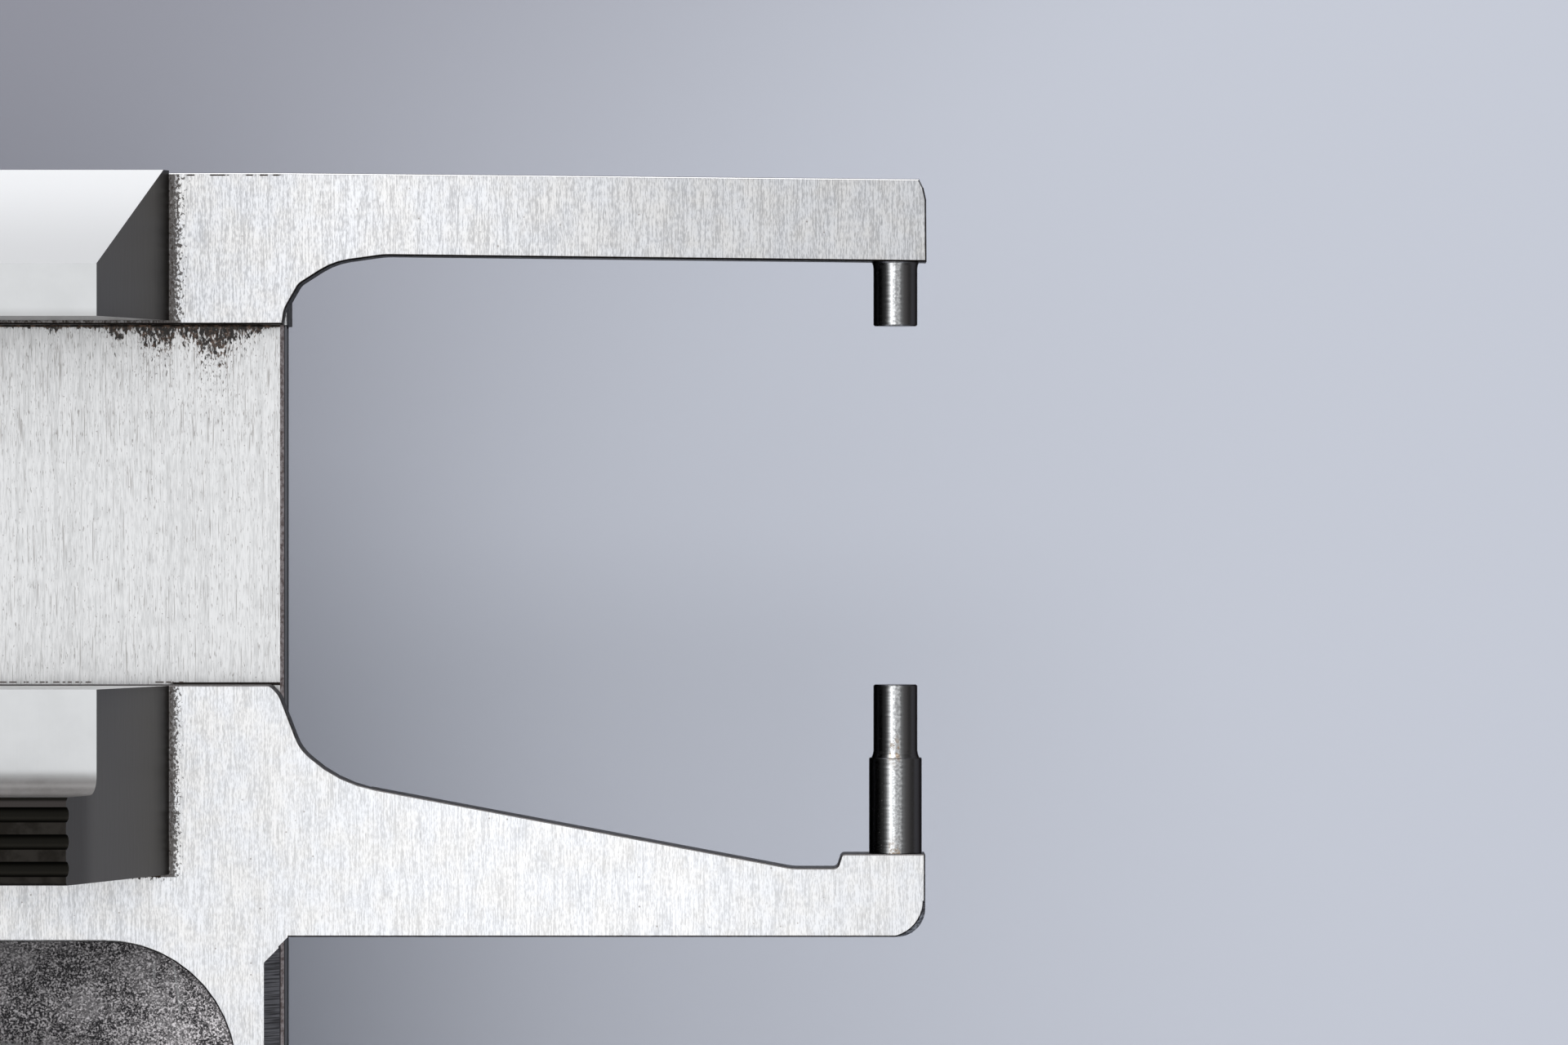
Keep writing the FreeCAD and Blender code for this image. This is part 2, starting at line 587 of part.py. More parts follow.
def frame_plate():
    jaw = slab(lower_jaw_outline(), JAW_BACK_Z, FACE_Z)
    jaw = eased(jaw, EDGE_R, lambda e: level_at(FACE_Z)(e) and e.BoundBox.XMax > ROOT_HALF - PAST)
    jaw = jaw.cut(filed_corner())
    lug = round_box(-ROOT_HALF - LUG_W, 0, LOWER_JAW_Y, LUG_TOP_Y, BACK_Z, FACE_Z, LUG_CORNER_R)
    boss = round_box(0, KEEPER_HALF, LOWER_JAW_Y, KEEPER_TOP_Y, BACK_Z, PIN_Z, KEEPER_CORNER_R)
    plate = rod(0, 0, BACK_Z, FACE_Z, DISC_R).fuse([neck(), lug, boss, jaw])
    plate = plate.cut(slide_channel() + [inlay_pocket()])
    for side in (-1, 1):
        plate = plate.cut(neck_bevel(side))
    return plate.cut(frame_bores() + frame_screw_holes())


def slide_channel():
    """Channel for the slide, open at its sides except in the disc, the lug and the boss."""
    low = SLIDE_LOW - STONE_GAP - CHANNEL_SPARE
    high = SEAM_Y + SLIDE_CORNER + PAST
    back = BACK_Z - PAST
    out = CHANNEL_HALF + PAST
    return [round_box(-CHANNEL_HALF, CHANNEL_HALF, low, high, back, CHANNEL_Z, SLIDE_CORNER),
            block(-out, out, DISC_EDGE_Y, LOWER_JAW_Y, back, CHANNEL_Z),
            block(-out, 0, LUG_TOP_Y, high, back, CHANNEL_Z),
            block(0, KEEPER_HALF, KEEPER_TOP_Y, high, back, CHANNEL_Z)]


def inlay_shape(z0, z1, gap):
    """Inlay plate or its pocket: round top corners, cut straight where the disc begins."""
    half = NECK_HALF - INLAY_SIDE - gap
    low = INLAY_LOW_Y - 2 * INLAY_CORNER_R
    shape = round_box(-half, half, low, INLAY_TOP_Y - gap, z0, z1, INLAY_CORNER_R - gap)
    return shape.common(block(-NECK_HALF, NECK_HALF, INLAY_LOW_Y + gap, SEAM_Y, z0, z1))


def inlay_pocket():
    return inlay_shape(FACE_Z - INLAY_POCKET, FACE_Z + PAST, 0)


def neck_bevel(side):
    """Cutter for the bevel on one long edge of the neck, mitred where it runs out under the jaw."""
    inner = NECK_HALF - NECK_BEVEL_W
    outer = NECK_HALF + BEVEL_PAST
    slope = NECK_BEVEL_DROP / NECK_BEVEL_W
    low = DISC_EDGE_Y
    end = LOWER_JAW_Y - NECK_GUSSET - NECK_BEVEL_SHY - NECK_BEVEL_W
    corners = ((inner, FACE_Z), (inner - PAST / slope, FACE_Z + PAST), (outer, FACE_Z + PAST),
               (outer, FACE_Z - (outer - inner) * slope), (inner, FACE_Z))
    wire = Part.makePolygon([V(x, low, z) for x, z in corners])
    cutter = Part.Face(wire).extrude(V(0, end + NECK_BEVEL_W + PAST - low, 0))
    mitre = turn(block(0, 2 * NECK_HALF, 0, 2 * NECK_HALF, 0, FACE_Z + PLATE_T), math.pi / 4)
    mitre.translate(V(inner, end, 0))
    cutter = cutter.cut(mitre)
    return cutter if side > 0 else cutter.mirror(V(0, 0, 0), V(1, 0, 0))


def frame_bores():
    pin_bore = Part.makeCylinder(PIN_TENON_R, PIN_SEAT, V(PIN_X, LOWER_PAD_Y - PIN_SEAT, PIN_Z), V(0, 1, 0))
    return [rod(0, 0, CHANNEL_Z - PAST, FACE_Z + PAST, BUSH_R),
            rod(COUNTER_X, 0, BACK_Z - PAST, FACE_Z + PAST, BUSH_R), pin_bore]


def frame_screw_holes():
    holes = tapped_holes(BOSSES, CASE_SCREW[0], CASE_SCREW[3], BACK_Z)
    holes += tapped_holes(PILLARS, BRIDGE_SCREW_R, BRIDGE_SCREW_BITE, BACK_Z)
    holes += tapped_holes(keeper_screw_places(), KEEPER_SCREW[0], KEEPER_SCREW[3], BACK_Z)
    holes += tapped_holes(retainer_screw_places(), RETAINER_SCREW[0], RETAINER_SCREW[3], BACK_Z)
    holes += tapped_holes(seat_screw_places(), SEAT_SCREW[0], SEAT_SCREW[3], FACE_Z, -1)
    holes += csk_holes(rest_screw_places(), CHANNEL_Z, REST_SCREW, WALL_T, 1)
    holes += tapped_holes([LEVER_PIVOT], LEVER_TENON_R, POST_BITE, BACK_Z)
    holes += tapped_holes([stop_post_place(), anchor_post_place()], SPRING_POST_R, POST_BITE, BACK_Z)
    return holes


def rest_screw_places():
    return [(x, SEAM_Y - REST_SCREW_Y) for x in (-REST_SCREW_X, REST_SCREW_X)]


def finger_rest():
    top = SEAM_Y - REST_SHY
    low = top - REST_DEPTH
    ledge = top - REST_LEDGE
    front = FACE_Z + BLOCK_H
    lip = FACE_Z + REST_LIP_H
    r = REST_HOLLOW_R
    q = r * math.sqrt(0.5)
    body = from_side([(top, FACE_Z), (top, front), (ledge + r, front),
                      ((ledge + r - q, front + r - q), (ledge, front + r)),
                      (ledge, lip - REST_EDGE), (ledge - REST_EDGE, lip),
                      (low + REST_LOW_EDGE, lip), (low, lip - REST_LOW_EDGE), (low, FACE_Z)], BLOCK_W)
    body = body.common(leaned_sides(low - PAST, top + PAST, FACE_Z, lip + REST_EDGE))
    first = ledge - LIP_GROOVE_FIRST
    grooves = []
    for k in range(LIP_GROOVES):
        start = V(-BLOCK_W, first - k * LIP_GROOVE_PITCH, lip)
        grooves.append(Part.makeCylinder(LIP_GROOVE_R, 2 * BLOCK_W, start, V(1, 0, 0)))
    return body.cut(grooves + tapped_holes(rest_screw_places(), REST_SCREW[0], REST_SCREW[3], FACE_Z))


def finger_rest_screws():
    return csk_screws(rest_screw_places(), CHANNEL_Z, REST_SCREW, WALL_T, 1)


def pin_along(profile):
    """A pin turned about an axis along Y from (radius, y) points, on the measuring axis."""
    wire = Part.makePolygon([V(r, y, 0) for r, y in profile + profile[:1]])
    solid = Part.Face(wire).revolve(V(0, 0, 0), V(0, 1, 0), 360)
    solid.translate(V(PIN_X, 0, PIN_Z))
    return solid


def lower_anvil_pin():
    pad = LOWER_PAD_Y
    low = pad - PIN_SEAT
    step = SEAM_Y - PIN_STEP
    c = PIN_TIP_CHAMFER
    curve = [(PIN_R + out, step - down) for out, down in reversed(PIN_STEP_CURVE)]
    return pin_along([(0, low), (PIN_TENON_R, low), (PIN_TENON_R, pad), (PIN_BASE_R, pad)] + curve
                     + [(PIN_R, step), (PIN_R, SEAM_Y - c), (PIN_R - c, SEAM_Y), (0, SEAM_Y)])


def neck_inlay():
    z = FACE_Z - INLAY_POCKET
    return inlay_shape(z, z + INLAY_T, INLAY_GAP)


# ---- slide and upper jaw ---------------------------------------------------------------------------------
def slide_bar():
    half = SLIDE_HALF
    low = SLIDE_LOW
    c = SLIDE_CORNER
    q = c * (1 - math.sqrt(0.5))
    tongue = half - TONGUE_SHY
    wire = outline((-half, low + c), ((-half + q, low + q), (-half + c, low)), (half - c, low),
                   ((half - q, low + q), (half, low + c)), (half, UPPER_Y), (tongue, UPPER_Y),
                   (tongue, UPPER_Y + TONGUE_H), (-tongue, UPPER_Y + TONGUE_H), (-tongue, UPPER_Y),
                   (-half, UPPER_Y))
    bar = slab(wire, SLIDE_BACK_Z, SLIDE_FRONT_Z)
    front = level_at(SLIDE_FRONT_Z)
    sides = [e for e in bar.Edges if front(e) and abs(abs(e.CenterOfMass.x) - half) < 1e-6]
    bar = bar.makeChamfer(SLIDE_CHAMFER, sides)
    slot = slab(rack_slot(), SLIDE_BACK_Z - PAST, SLIDE_FRONT_Z + PAST)
    pin_hole = rod(DRIVE_PIN_X, DRIVE_PIN_Y, SLIDE_BACK_Z - PAST, SLIDE_FRONT_Z + PAST, DRIVE_PIN_R)
    return bar.cut([slot, pin_hole] + csk_holes(jaw_screw_places(), SLIDE_BACK_Z, JAW_SCREW, SLIDE_T, 1))


def rack_slot():
    """Outline of the slide's slot at rest, plain on the right and toothed on the left."""
    pitch = MM_PER_TURN / RACK_TEETH_PER_TURN
    line = -PINION_R
    tip = line + ADDENDUM * RACK_MODULE
    root = line - DEDENDUM * RACK_MODULE
    lean = math.tan(PRESSURE_ANGLE)
    half = pitch / 4 - BACKLASH / 4
    at_tip = half - (tip - line) * lean
    at_root = half + (line - root) * lean
    first = math.ceil((SLOT_LOW + at_root) / pitch)
    last = math.floor((SLOT_HIGH - at_root) / pitch)
    points = [(SLOT_RIGHT, SLOT_LOW), (SLOT_RIGHT, SLOT_HIGH), (root, SLOT_HIGH)]
    for k in range(last, first - 1, -1):
        y = k * pitch
        points += [(root, y + at_root), (tip, y + at_tip), (tip, y - at_tip), (root, y - at_root)]
    points += [(root, SLOT_LOW), (SLOT_RIGHT, SLOT_LOW)]
    return Part.makePolygon([V(x, y, 0) for x, y in points])


def jaw_screw_places():
    return [(x, UPPER_Y + TONGUE_H / 2) for x in (-JAW_SCREW_X, 0.0, JAW_SCREW_X)]


def upper_jaw():
    edge = ROOT_HALF
    tip = UPPER_TOP - UPPER_DROOP
    worn = [(JAW_REACH + out, tip - down, 0) for out, down in UPPER_TIP_CUTS]
    crook = [(edge + x, UPPER_Y + y, r) for x, y, r in UPPER_CROOK]
    wire = rounded_outline([(-edge, UPPER_Y, 0), (edge - UPPER_ROOT_LEAN, UPPER_Y, 0)] + crook
                           + [(JAW_REACH + UPPER_TIP_OUT, UPPER_ARM_Y, 0)] + worn
                           + [(edge, UPPER_TOP, 0), (-edge, UPPER_TOP, 0)])
    jaw = eased(slab(wire, JAW_BACK_Z, FACE_Z), EDGE_R, level_at(FACE_Z))
    jaw = jaw.fuse(block(-edge, edge, UPPER_Y, UPPER_TOP, BACK_Z, PIN_Z))
    tongue = SLIDE_HALF - TONGUE_SHY
    socket = block(-tongue, tongue, UPPER_Y - PAST, UPPER_Y + TONGUE_H, BACK_Z - PAST, SLIDE_FRONT_Z)
    along = V(0, 1, 0)
    bore = Part.makeCylinder(PIN_TENON_R, PIN_SEAT, V(PIN_X, UPPER_SEAT_Y, PIN_Z), along)
    spot_r = PIN_R + PIN_COLLAR[-1][0]
    spot = Part.makeCylinder(spot_r, PAST, V(PIN_X, UPPER_SEAT_Y - PAST, PIN_Z), along)
    holes = [rod(x, y, BACK_Z, FACE_Z + PAST, JAW_SCREW[0]) for x, y in jaw_screw_places()]
    return jaw.cut([socket, bore, spot] + holes)


def upper_block():
    top = UPPER_TOP + UPPER_BLOCK_PROUD
    low = UPPER_Y + UPPER_BLOCK_SHY
    front = FACE_Z + BLOCK_H
    heel = FACE_Z + UPPER_BLOCK_HEEL
    body = from_side([(low, FACE_Z), (low, front), (low + UPPER_BLOCK_FLAT, front), (top, heel),
                      (top, FACE_Z)], BLOCK_W)
    body = body.common(leaned_sides(low - PAST, top + PAST, FACE_Z, front))
    return body.cut(tapped_holes(jaw_screw_places(), JAW_SCREW[0], JAW_SCREW[3], FACE_Z))


def upper_anvil_pin():
    tip = SEAM_Y + STONE_GAP
    seat = UPPER_SEAT_Y
    top = seat + PIN_SEAT
    c = PIN_TIP_CHAMFER
    collar = [(PIN_R + out, seat - down) for out, down in PIN_COLLAR]
    return pin_along([(0, tip), (PIN_R - c, tip), (PIN_R, tip + c), (PIN_R, seat - PIN_COLLAR_H)] + collar
                     + [(PIN_TENON_R, seat), (PIN_TENON_R, top), (0, top)])


def jaw_screws():
    return csk_screws(jaw_screw_places(), SLIDE_BACK_Z, JAW_SCREW, FACE_Z - SLIDE_BACK_Z, 1)


def drive_pin():
    return rod(DRIVE_PIN_X, DRIVE_PIN_Y, LEVER_Z - DRIVE_PIN_PAST, SLIDE_FRONT_Z, DRIVE_PIN_R)


# ---- keeper and retainers --------------------------------------------------------------------------------
def keeper_screw_places():
    rows = (KEEPER_LOW_Y + KEEPER_SCREW_IN, KEEPER_TOP_Y - KEEPER_SCREW_IN)
    return [(sx * KEEPER_SCREW_X, y) for sx in (-1, 1) for y in rows]


def slide_keeper():
    half = KEEPER_HALF
    low = BACK_Z - KEEPER_T
    plate = round_box(-half, half, KEEPER_LOW_Y, KEEPER_TOP_Y, low, BACK_Z, KEEPER_CORNER_R)
    return plate.cut(csk_holes(keeper_screw_places(), low, KEEPER_SCREW, KEEPER_T, 1))


def keeper_screws():
    return csk_screws(keeper_screw_places(), BACK_Z - KEEPER_T, KEEPER_SCREW, KEEPER_T, 1)


def retainer_screw_places():
    x = SLIDE_HALF - RETAINER_BITE + RETAINER_W - RETAINER_SCREW_IN
    return [(-x, RETAINER_Y), (x, RETAINER_Y)]


def slide_retainers():
    near = SLIDE_HALF - RETAINER_BITE
    far = near + RETAINER_W
    y0, y1 = RETAINER_Y - RETAINER_H / 2, RETAINER_Y + RETAINER_H / 2
    low = BACK_Z - RETAINER_T
    holes = csk_holes(retainer_screw_places(), low, RETAINER_SCREW, RETAINER_T, 1)
    left = round_box(-far, -near, y0, y1, low, BACK_Z, RETAINER_CORNER_R).cut(holes)
    right = round_box(near, far, y0, y1, low, BACK_Z, RETAINER_CORNER_R).cut(holes)
    return Part.makeCompound([left, right])


def retainer_screws():
    return csk_screws(retainer_screw_places(), BACK_Z - RETAINER_T, RETAINER_SCREW, RETAINER_T, 1)


# ---- case ------------------------------------------------------------------------------------------------
def case_ring():
    edge = CASE_EDGE
    ring = turned([(CASE_IN_R, 0), (DISC_R - edge, 0), (DISC_R - edge * 0.3, edge * 0.3), (DISC_R, edge),
                   (DISC_R, BACK_Z), (CASE_IN_R, BACK_Z)])
    bosses = [rod(x, y, COVER_T, BACK_Z, BOSS_R) for x, y in BOSSES]
    webs = [boss_web(x, y) for x, y in BOSSES]
    ring = ring.fuse(bosses + webs)
    shank = CASE_SCREW[0] + SCREW_GAP
    return ring.cut([rod(x, y, 0, BACK_Z + PAST, shank) for x, y in BOSSES] + [lever_window()])


def boss_web(x, y):
    """Short wall that joins a boss to the case."""
    half = BOSS_WEB_W / 2
    web = block(math.hypot(x, y), CASE_IN_R + CASE_WALL / 2, -half, half, COVER_T, BACK_Z)
    return turn(web, math.atan2(y, x))


def lever_window():
    """Space the lever's outer arm sweeps through the case wall."""
    z0 = LEVER_Z - LEVER_SLOT_PLAY
    z1 = LEVER_Z + LEVER_T + LEVER_SLOT_PLAY
    swing = LEVER_PER_MM * HALF_TRAVEL + math.radians(LEVER_SWING_SPARE)
    half = LEVER_ARM_W / 2 + LEVER_SLOT_PLAY
    reach = DISC_R
    steps = 4
    turns = [swing - 2 * swing * k / steps for k in range(steps + 1)]
    arms = [turn(block(-reach, 0, -half, half, z0, z1), radians) for radians in turns]
    sector = Part.makeCylinder(reach, z1 - z0, V(0, 0, z0), V(0, 0, 1), 2 * math.degrees(swing))
    window = turn(sector, math.pi - swing).fuse(arms)
    window.translate(V(*LEVER_PIVOT, 0))
    return window


def rear_cover():
    plate = rod(0, 0, 0, COVER_T, CASE_IN_R - COVER_GAP)
    plate = plate.makeChamfer(COVER_EDGE, [e for e in plate.Edges if level_at(0)(e)])
    return plate.cut(csk_holes(BOSSES, 0, CASE_SCREW, COVER_T, 1))


def case_screws():
    return csk_screws(BOSSES, 0, CASE_SCREW, BACK_Z, 1)


# ---- dial, bezel and hands -------------------------------------------------------------------------------
def round_places(radius, angles):
    return [(radius * math.cos(math.radians(a)), radius * math.sin(math.radians(a))) for a in angles]


def seat_screw_places():
    return round_places((SEAT_R + SEAT_IN_R) / 2 - SEAT_SCREW_IN, SEAT_SCREW_ANGLES)


def dial_seat_ring():
    z = FACE_Z
    top = z + SEAT_H
    g0, g1 = z + SNAP_Z - SNAP_PLAY, z + SNAP_Z + SNAP_W + SNAP_PLAY
    groove = SEAT_R - SNAP_W + SNAP_PLAY
    ring = turned([(SEAT_IN_R, z), (SEAT_R, z), (SEAT_R, g0), (groove, g0), (groove, g1), (SEAT_R, g1),
                   (SEAT_R, top), (SEAT_IN_R, top)])
    return ring.cut(csk_holes(seat_screw_places(), top, SEAT_SCREW, SEAT_H, -1))


def seat_ring_screws():
    return csk_screws(seat_screw_places(), FACE_Z + SEAT_H, SEAT_SCREW, SEAT_H, -1)


def bezel_snap_ring():
    """Open wire ring that holds the bezel down on its seat."""
    inner = SEAT_R - SNAP_W + 2 * SNAP_PLAY
    low = FACE_Z + SNAP_Z
    ring = tube(0, 0, low, low + SNAP_W, inner + SNAP_W + 2 * SNAP_PLAY, inner)
    half = SNAP_OPEN / 2
    return ring.cut(block(-half, half, -SEAT_R - PAST, 0, low - PAST, low + SNAP_W + PAST))


def dial_posts():
    places = round_places(DIAL_POST_RADIUS, DIAL_POST_ANGLES)
    return Part.makeCompound([rod(x, y, FACE_Z, DIAL_Z, DIAL_POST_R) for x, y in places])


def inner_dial():
    hole = ARBOR_R + DIAL_HOLE_GAP
    disc = rod(0, 0, DIAL_Z, DIAL_FACE_Z, INNER_DIAL_R)
    return disc.cut([rod(x, 0, DIAL_Z - PAST, DIAL_FACE_Z + PAST, hole) for x in (0, COUNTER_X)])


def scale_ring():
    return tube(0, 0, DIAL_Z, DIAL_FACE_Z, BEZEL_BORE_R - FIT_GAP, INNER_DIAL_R + DIAL_GAP)


def crystal_gasket():
    return tube(0, 0, DIAL_FACE_Z, CRYSTAL_TOP - CRYSTAL_T, BEZEL_BORE_R - FIT_GAP, BEZEL_LIP_R)


def crystal():
    """Flat underneath, with a flat rim under the bezel's lip and a low dome inside it."""
    top = CRYSTAL_TOP
    low = top - CRYSTAL_T
    outer = BEZEL_BORE_R - FIT_GAP
    rim = BEZEL_LIP_R - CRYSTAL_RIM
    peak = V(0, 0, top + CRYSTAL_DOME)
    sphere_r = (rim ** 2 + CRYSTAL_DOME ** 2) / (2 * CRYSTAL_DOME)
    a = math.asin(rim / sphere_r) / 2
    half_way = V(sphere_r * math.sin(a), 0, peak.z - sphere_r * (1 - math.cos(a)))
    edge = Part.makePolygon([V(0, 0, low), V(outer, 0, low), V(outer, 0, top), V(rim, 0, top)])
    dome = Part.Arc(V(rim, 0, top), half_way, peak).toShape()
    axis = Part.LineSegment(peak, V(0, 0, low)).toShape()
    return Part.Face(Part.Wire(edge.Edges + [dome, axis])).revolve(V(0, 0, 0), V(0, 0, 1), 360)


def bezel_ring():
    low = FACE_Z + BEZEL_FLOAT
    top = FACE_Z + BEZEL_TOP
    flange = low + BEZEL_FLANGE_H
    edge = BEZEL_EDGE
    seat = SEAT_R + BEZEL_PLAY
    step = FACE_Z + SEAT_H + BEZEL_PLAY
    groove = SEAT_R + SNAP_GROOVE
    snap = FACE_Z + SNAP_Z
    g0, g1 = snap - 2 * SNAP_PLAY, snap + SNAP_W + 2 * SNAP_PLAY
    break_in, break_down = BEZEL_BREAK
    crown_out, crown_in = BEZEL_CROWN
    ring = turned([(seat, low), (BEZEL_R - edge, low), (BEZEL_R, low + edge), (BEZEL_R, flange),
                   (BEZEL_BAND_R, flange + edge), (BEZEL_BAND_R, top - BEZEL_SHOULDER_H),
                   (BEZEL_R - break_in, top - break_down), (BEZEL_LIP_R + crown_out, top),
                   (BEZEL_LIP_R + crown_in, top), (BEZEL_LIP_R, top - crown_in), (BEZEL_LIP_R, CRYSTAL_TOP),
                   (BEZEL_BORE_R, CRYSTAL_TOP), (BEZEL_BORE_R, step), (seat, step),
                   (seat, g1), (groove, g1), (groove, g0), (seat, g0)])
    z0 = flange + edge + COIN_SHY
    z1 = top - BEZEL_SHOULDER_H - COIN_SHY
    around = [360 * k / COIN_GROOVES for k in range(COIN_GROOVES)]
    places = round_places(BEZEL_BAND_R + COIN_GROOVE_OUT, around)
    return ring.cut([rod(x, y, z0, z1, COIN_GROOVE_R) for x, y in places])


def hand(length, tail, width, z0, thick, hub_r, angle, x):
    """Tapered hand that points along +Y turned anticlockwise by angle, with a round tail."""
    z1 = z0 + thick
    root = -tail * 0.45
    point = width * 0.16
    blade = slab(outline((-width / 2, root), (-point, length), (point, length), (width / 2, root)), z0, z1)
    disc = rod(0, -tail + width, z0, z1, width * 1.15)
    stem = block(-width * 0.35, width * 0.35, -tail + width, 0, z0, z1)
    shape = blade.fuse([disc, stem, rod(0, 0, z0, z1, hub_r)])
    shape = turn(shape.cut(rod(0, 0, z0 - PAST, z1 + PAST, PIVOT_R)), angle)
    shape.translate(V(x, 0, 0))
    return shape


def main_hand():
    return hand(BEZEL_LIP_R - HAND_SHY, HAND_TAIL, HAND_W, DIAL_FACE_Z + HAND_RISE, HAND_T, HAND_HUB_R,
                -HAND_ANGLE, 0)


def hand_boss():
    z = DIAL_FACE_Z + HAND_RISE + HAND_T
    low_r, top_r, edge_h, top_h = HAND_CAP
    return turned([(PIVOT_R, z), (low_r, z), (top_r, z + edge_h), (PIVOT_R, z + top_h)])


def counter_hand():
    return hand(COUNTER_HAND_LEN, COUNTER_HAND_TAIL, COUNTER_HAND_W, DIAL_FACE_Z + COUNTER_HAND_RISE,
                COUNTER_HAND_T, COUNTER_HAND_HUB_R, COUNTER_ANGLE, COUNTER_X)


# ---- movement --------------------------------------------------------------------------------------------
def arbor(x, neck, top):
    """Arbor from its rear pivot in the bridge to the pivot that carries its hand."""
    shoulder = BRIDGE_Z + BRIDGE_T + END_SHAKE
    low = BRIDGE_Z - PIVOT_PAST
    return turned([(0, low), (PIVOT_R, low), (PIVOT_R, shoulder), (ARBOR_R, shoulder), (ARBOR_R, neck),
                   (PIVOT_R, neck), (PIVOT_R, top), (0, top)], x)


def pinion_arbor():
    """Arbor of the main hand, with the rack pinion on it. A tooth space faces the middle of a rack tooth."""
    neck = DIAL_FACE_Z + HAND_RISE
    shaft = arbor(0, neck, neck + HAND_T + HAND_CAP[2])
    phase = math.pi + math.pi / RACK_TEETH_PER_TURN
    low = BACK_Z - PIVOT_PAST
    return involute_gear(RACK_TEETH_PER_TURN, RACK_MODULE, low, CHANNEL_Z - END_SHAKE, phase).fuse(shaft)


def centre_gear():
    top = GEAR_Z + GEAR_T
    hub_r, hub_h = CENTRE_HUB
    gear = involute_gear(CENTRE_TEETH, GEAR_MODULE, GEAR_Z, top, 0.0)
    return gear.fuse(rod(0, 0, top, top + hub_h, hub_r)).cut(rod(0, 0, 0, FACE_Z, ARBOR_R))


def counter_wheel():
    """Counter wheel with four crossings. A tooth space faces the centre gear's tooth."""
    z0, z1 = GEAR_Z, GEAR_Z + GEAR_T
    hub_r, hub_h = COUNTER_HUB
    half = SPOKE_W / 2
    rim = GEAR_MODULE * COUNTER_TEETH / 2 - WHEEL_RIM_W
    wheel = involute_gear(COUNTER_TEETH, GEAR_MODULE, z0, z1, math.pi + math.pi / COUNTER_TEETH)
    web = tube(0, 0, z0 - PAST, z1 + PAST, rim, WHEEL_HUB_R)
    low, high = z0 - 2 * PAST, z1 + 2 * PAST
    spokes = [block(-rim, rim, -half, half, low, high), block(-half, half, -rim, rim, low, high)]
    wheel = wheel.cut(web.cut(spokes)).fuse(rod(0, 0, z1, z1 + hub_h, hub_r))
    wheel = wheel.cut(rod(0, 0, 0, FACE_Z, ARBOR_R))
    wheel.translate(V(COUNTER_X, 0, 0))
    return wheel


def counter_arbor():
    neck = DIAL_FACE_Z + COUNTER_HAND_RISE
    return arbor(COUNTER_X, neck, neck + 2 * COUNTER_HAND_T)


def arbor_bushings():
    """Front bearings pressed into the base disc and rear bearings pressed into the bridge."""
    bore = ARBOR_R + BEARING_GAP
    front = [tube(0, 0, CHANNEL_Z, FACE_Z + BUSH_PROUD, BUSH_R, bore),
             tube(COUNTER_X, 0, BACK_Z, FACE_Z + BUSH_PROUD, BUSH_R, bore)]
    top = BRIDGE_Z + BRIDGE_T + REAR_BUSH_PROUD
    rear = [tube(x, 0, BRIDGE_Z, top, BUSH_R, PIVOT_R + BEARING_GAP) for x in (0, COUNTER_X)]
    return Part.makeCompound(front + rear)


def movement_bridge():
    z0, z1 = BRIDGE_Z, BRIDGE_Z + BRIDGE_T
    m = BRIDGE_MARGIN
    left, high, low = PILLARS
    core = slab(outline(left, low, high), z0, z1)
    ribs = []
    for (x0, y0), (x1, y1) in ((left, high), (high, low), (low, left)):
        rib = turn(block(0, math.hypot(x1 - x0, y1 - y0), -m, m, z0, z1), math.atan2(y1 - y0, x1 - x0))
        rib.translate(V(x0, y0, 0))
        ribs.append(rib)
    plate = core.fuse([rod(x, y, z0, z1, m) for x, y in PILLARS] + ribs).removeSplitter()
    bores = [(0, 0, BUSH_R), (COUNTER_X, 0, BUSH_R), (*stud_place(), STUD_R)]
    bores += [(x, y, BRIDGE_SCREW_R + SCREW_GAP) for x, y in PILLARS]
    return plate.cut([rod(x, y, z0 - PAST, z1 + PAST, r) for x, y, r in bores])


def bridge_pillars():
    low = BRIDGE_Z + BRIDGE_T
    bore = BRIDGE_SCREW_R + SCREW_GAP
    return Part.makeCompound([tube(x, y, low, BACK_Z, PILLAR_R, bore) for x, y in PILLARS])


def bridge_screws():
    head_r, head_h = BRIDGE_HEAD
    slot_w, slot_h = HEAD_SLOT
    low = BRIDGE_Z - head_h
    top = BACK_Z + BRIDGE_SCREW_BITE
    profile = [(0, low), (head_r - HEAD_RIM, low), (head_r, low + HEAD_RIM), (head_r, BRIDGE_Z),
               (BRIDGE_SCREW_R, BRIDGE_Z), (BRIDGE_SCREW_R, top), (0, top)]
    screws = []
    for x, y in PILLARS:
        slot = block(x - PAST, x + PAST, y - slot_w / 2, y + slot_w / 2, low - PAST, low + slot_h)
        screws.append(turned(profile, x, y).cut(slot))
    return Part.makeCompound(screws)


# ---- hairspring ------------------------------------------------------------------------------------------
def hairspring_r(share):
    """Inner radius of the hairspring's ribbon, from its collet (0) to its stud (1)."""
    return COLLET_R + share * HAIRSPRING_TURNS * HAIRSPRING_PITCH


def hairspring_side(extra):
    """One side of the ribbon, a spiral, with its two ends."""
    steps = 24 * HAIRSPRING_TURNS
    points = []
    for k in range(steps + 1):
        a = 2 * math.pi * HAIRSPRING_TURNS * k / steps
        r = hairspring_r(k / steps) + extra
        points.append(V(COUNTER_X + r * math.cos(a), r * math.sin(a), HAIRSPRING_Z))
    curve = Part.BSplineCurve()
    curve.interpolate(points)
    return curve.toShape(), points[0], points[-1]


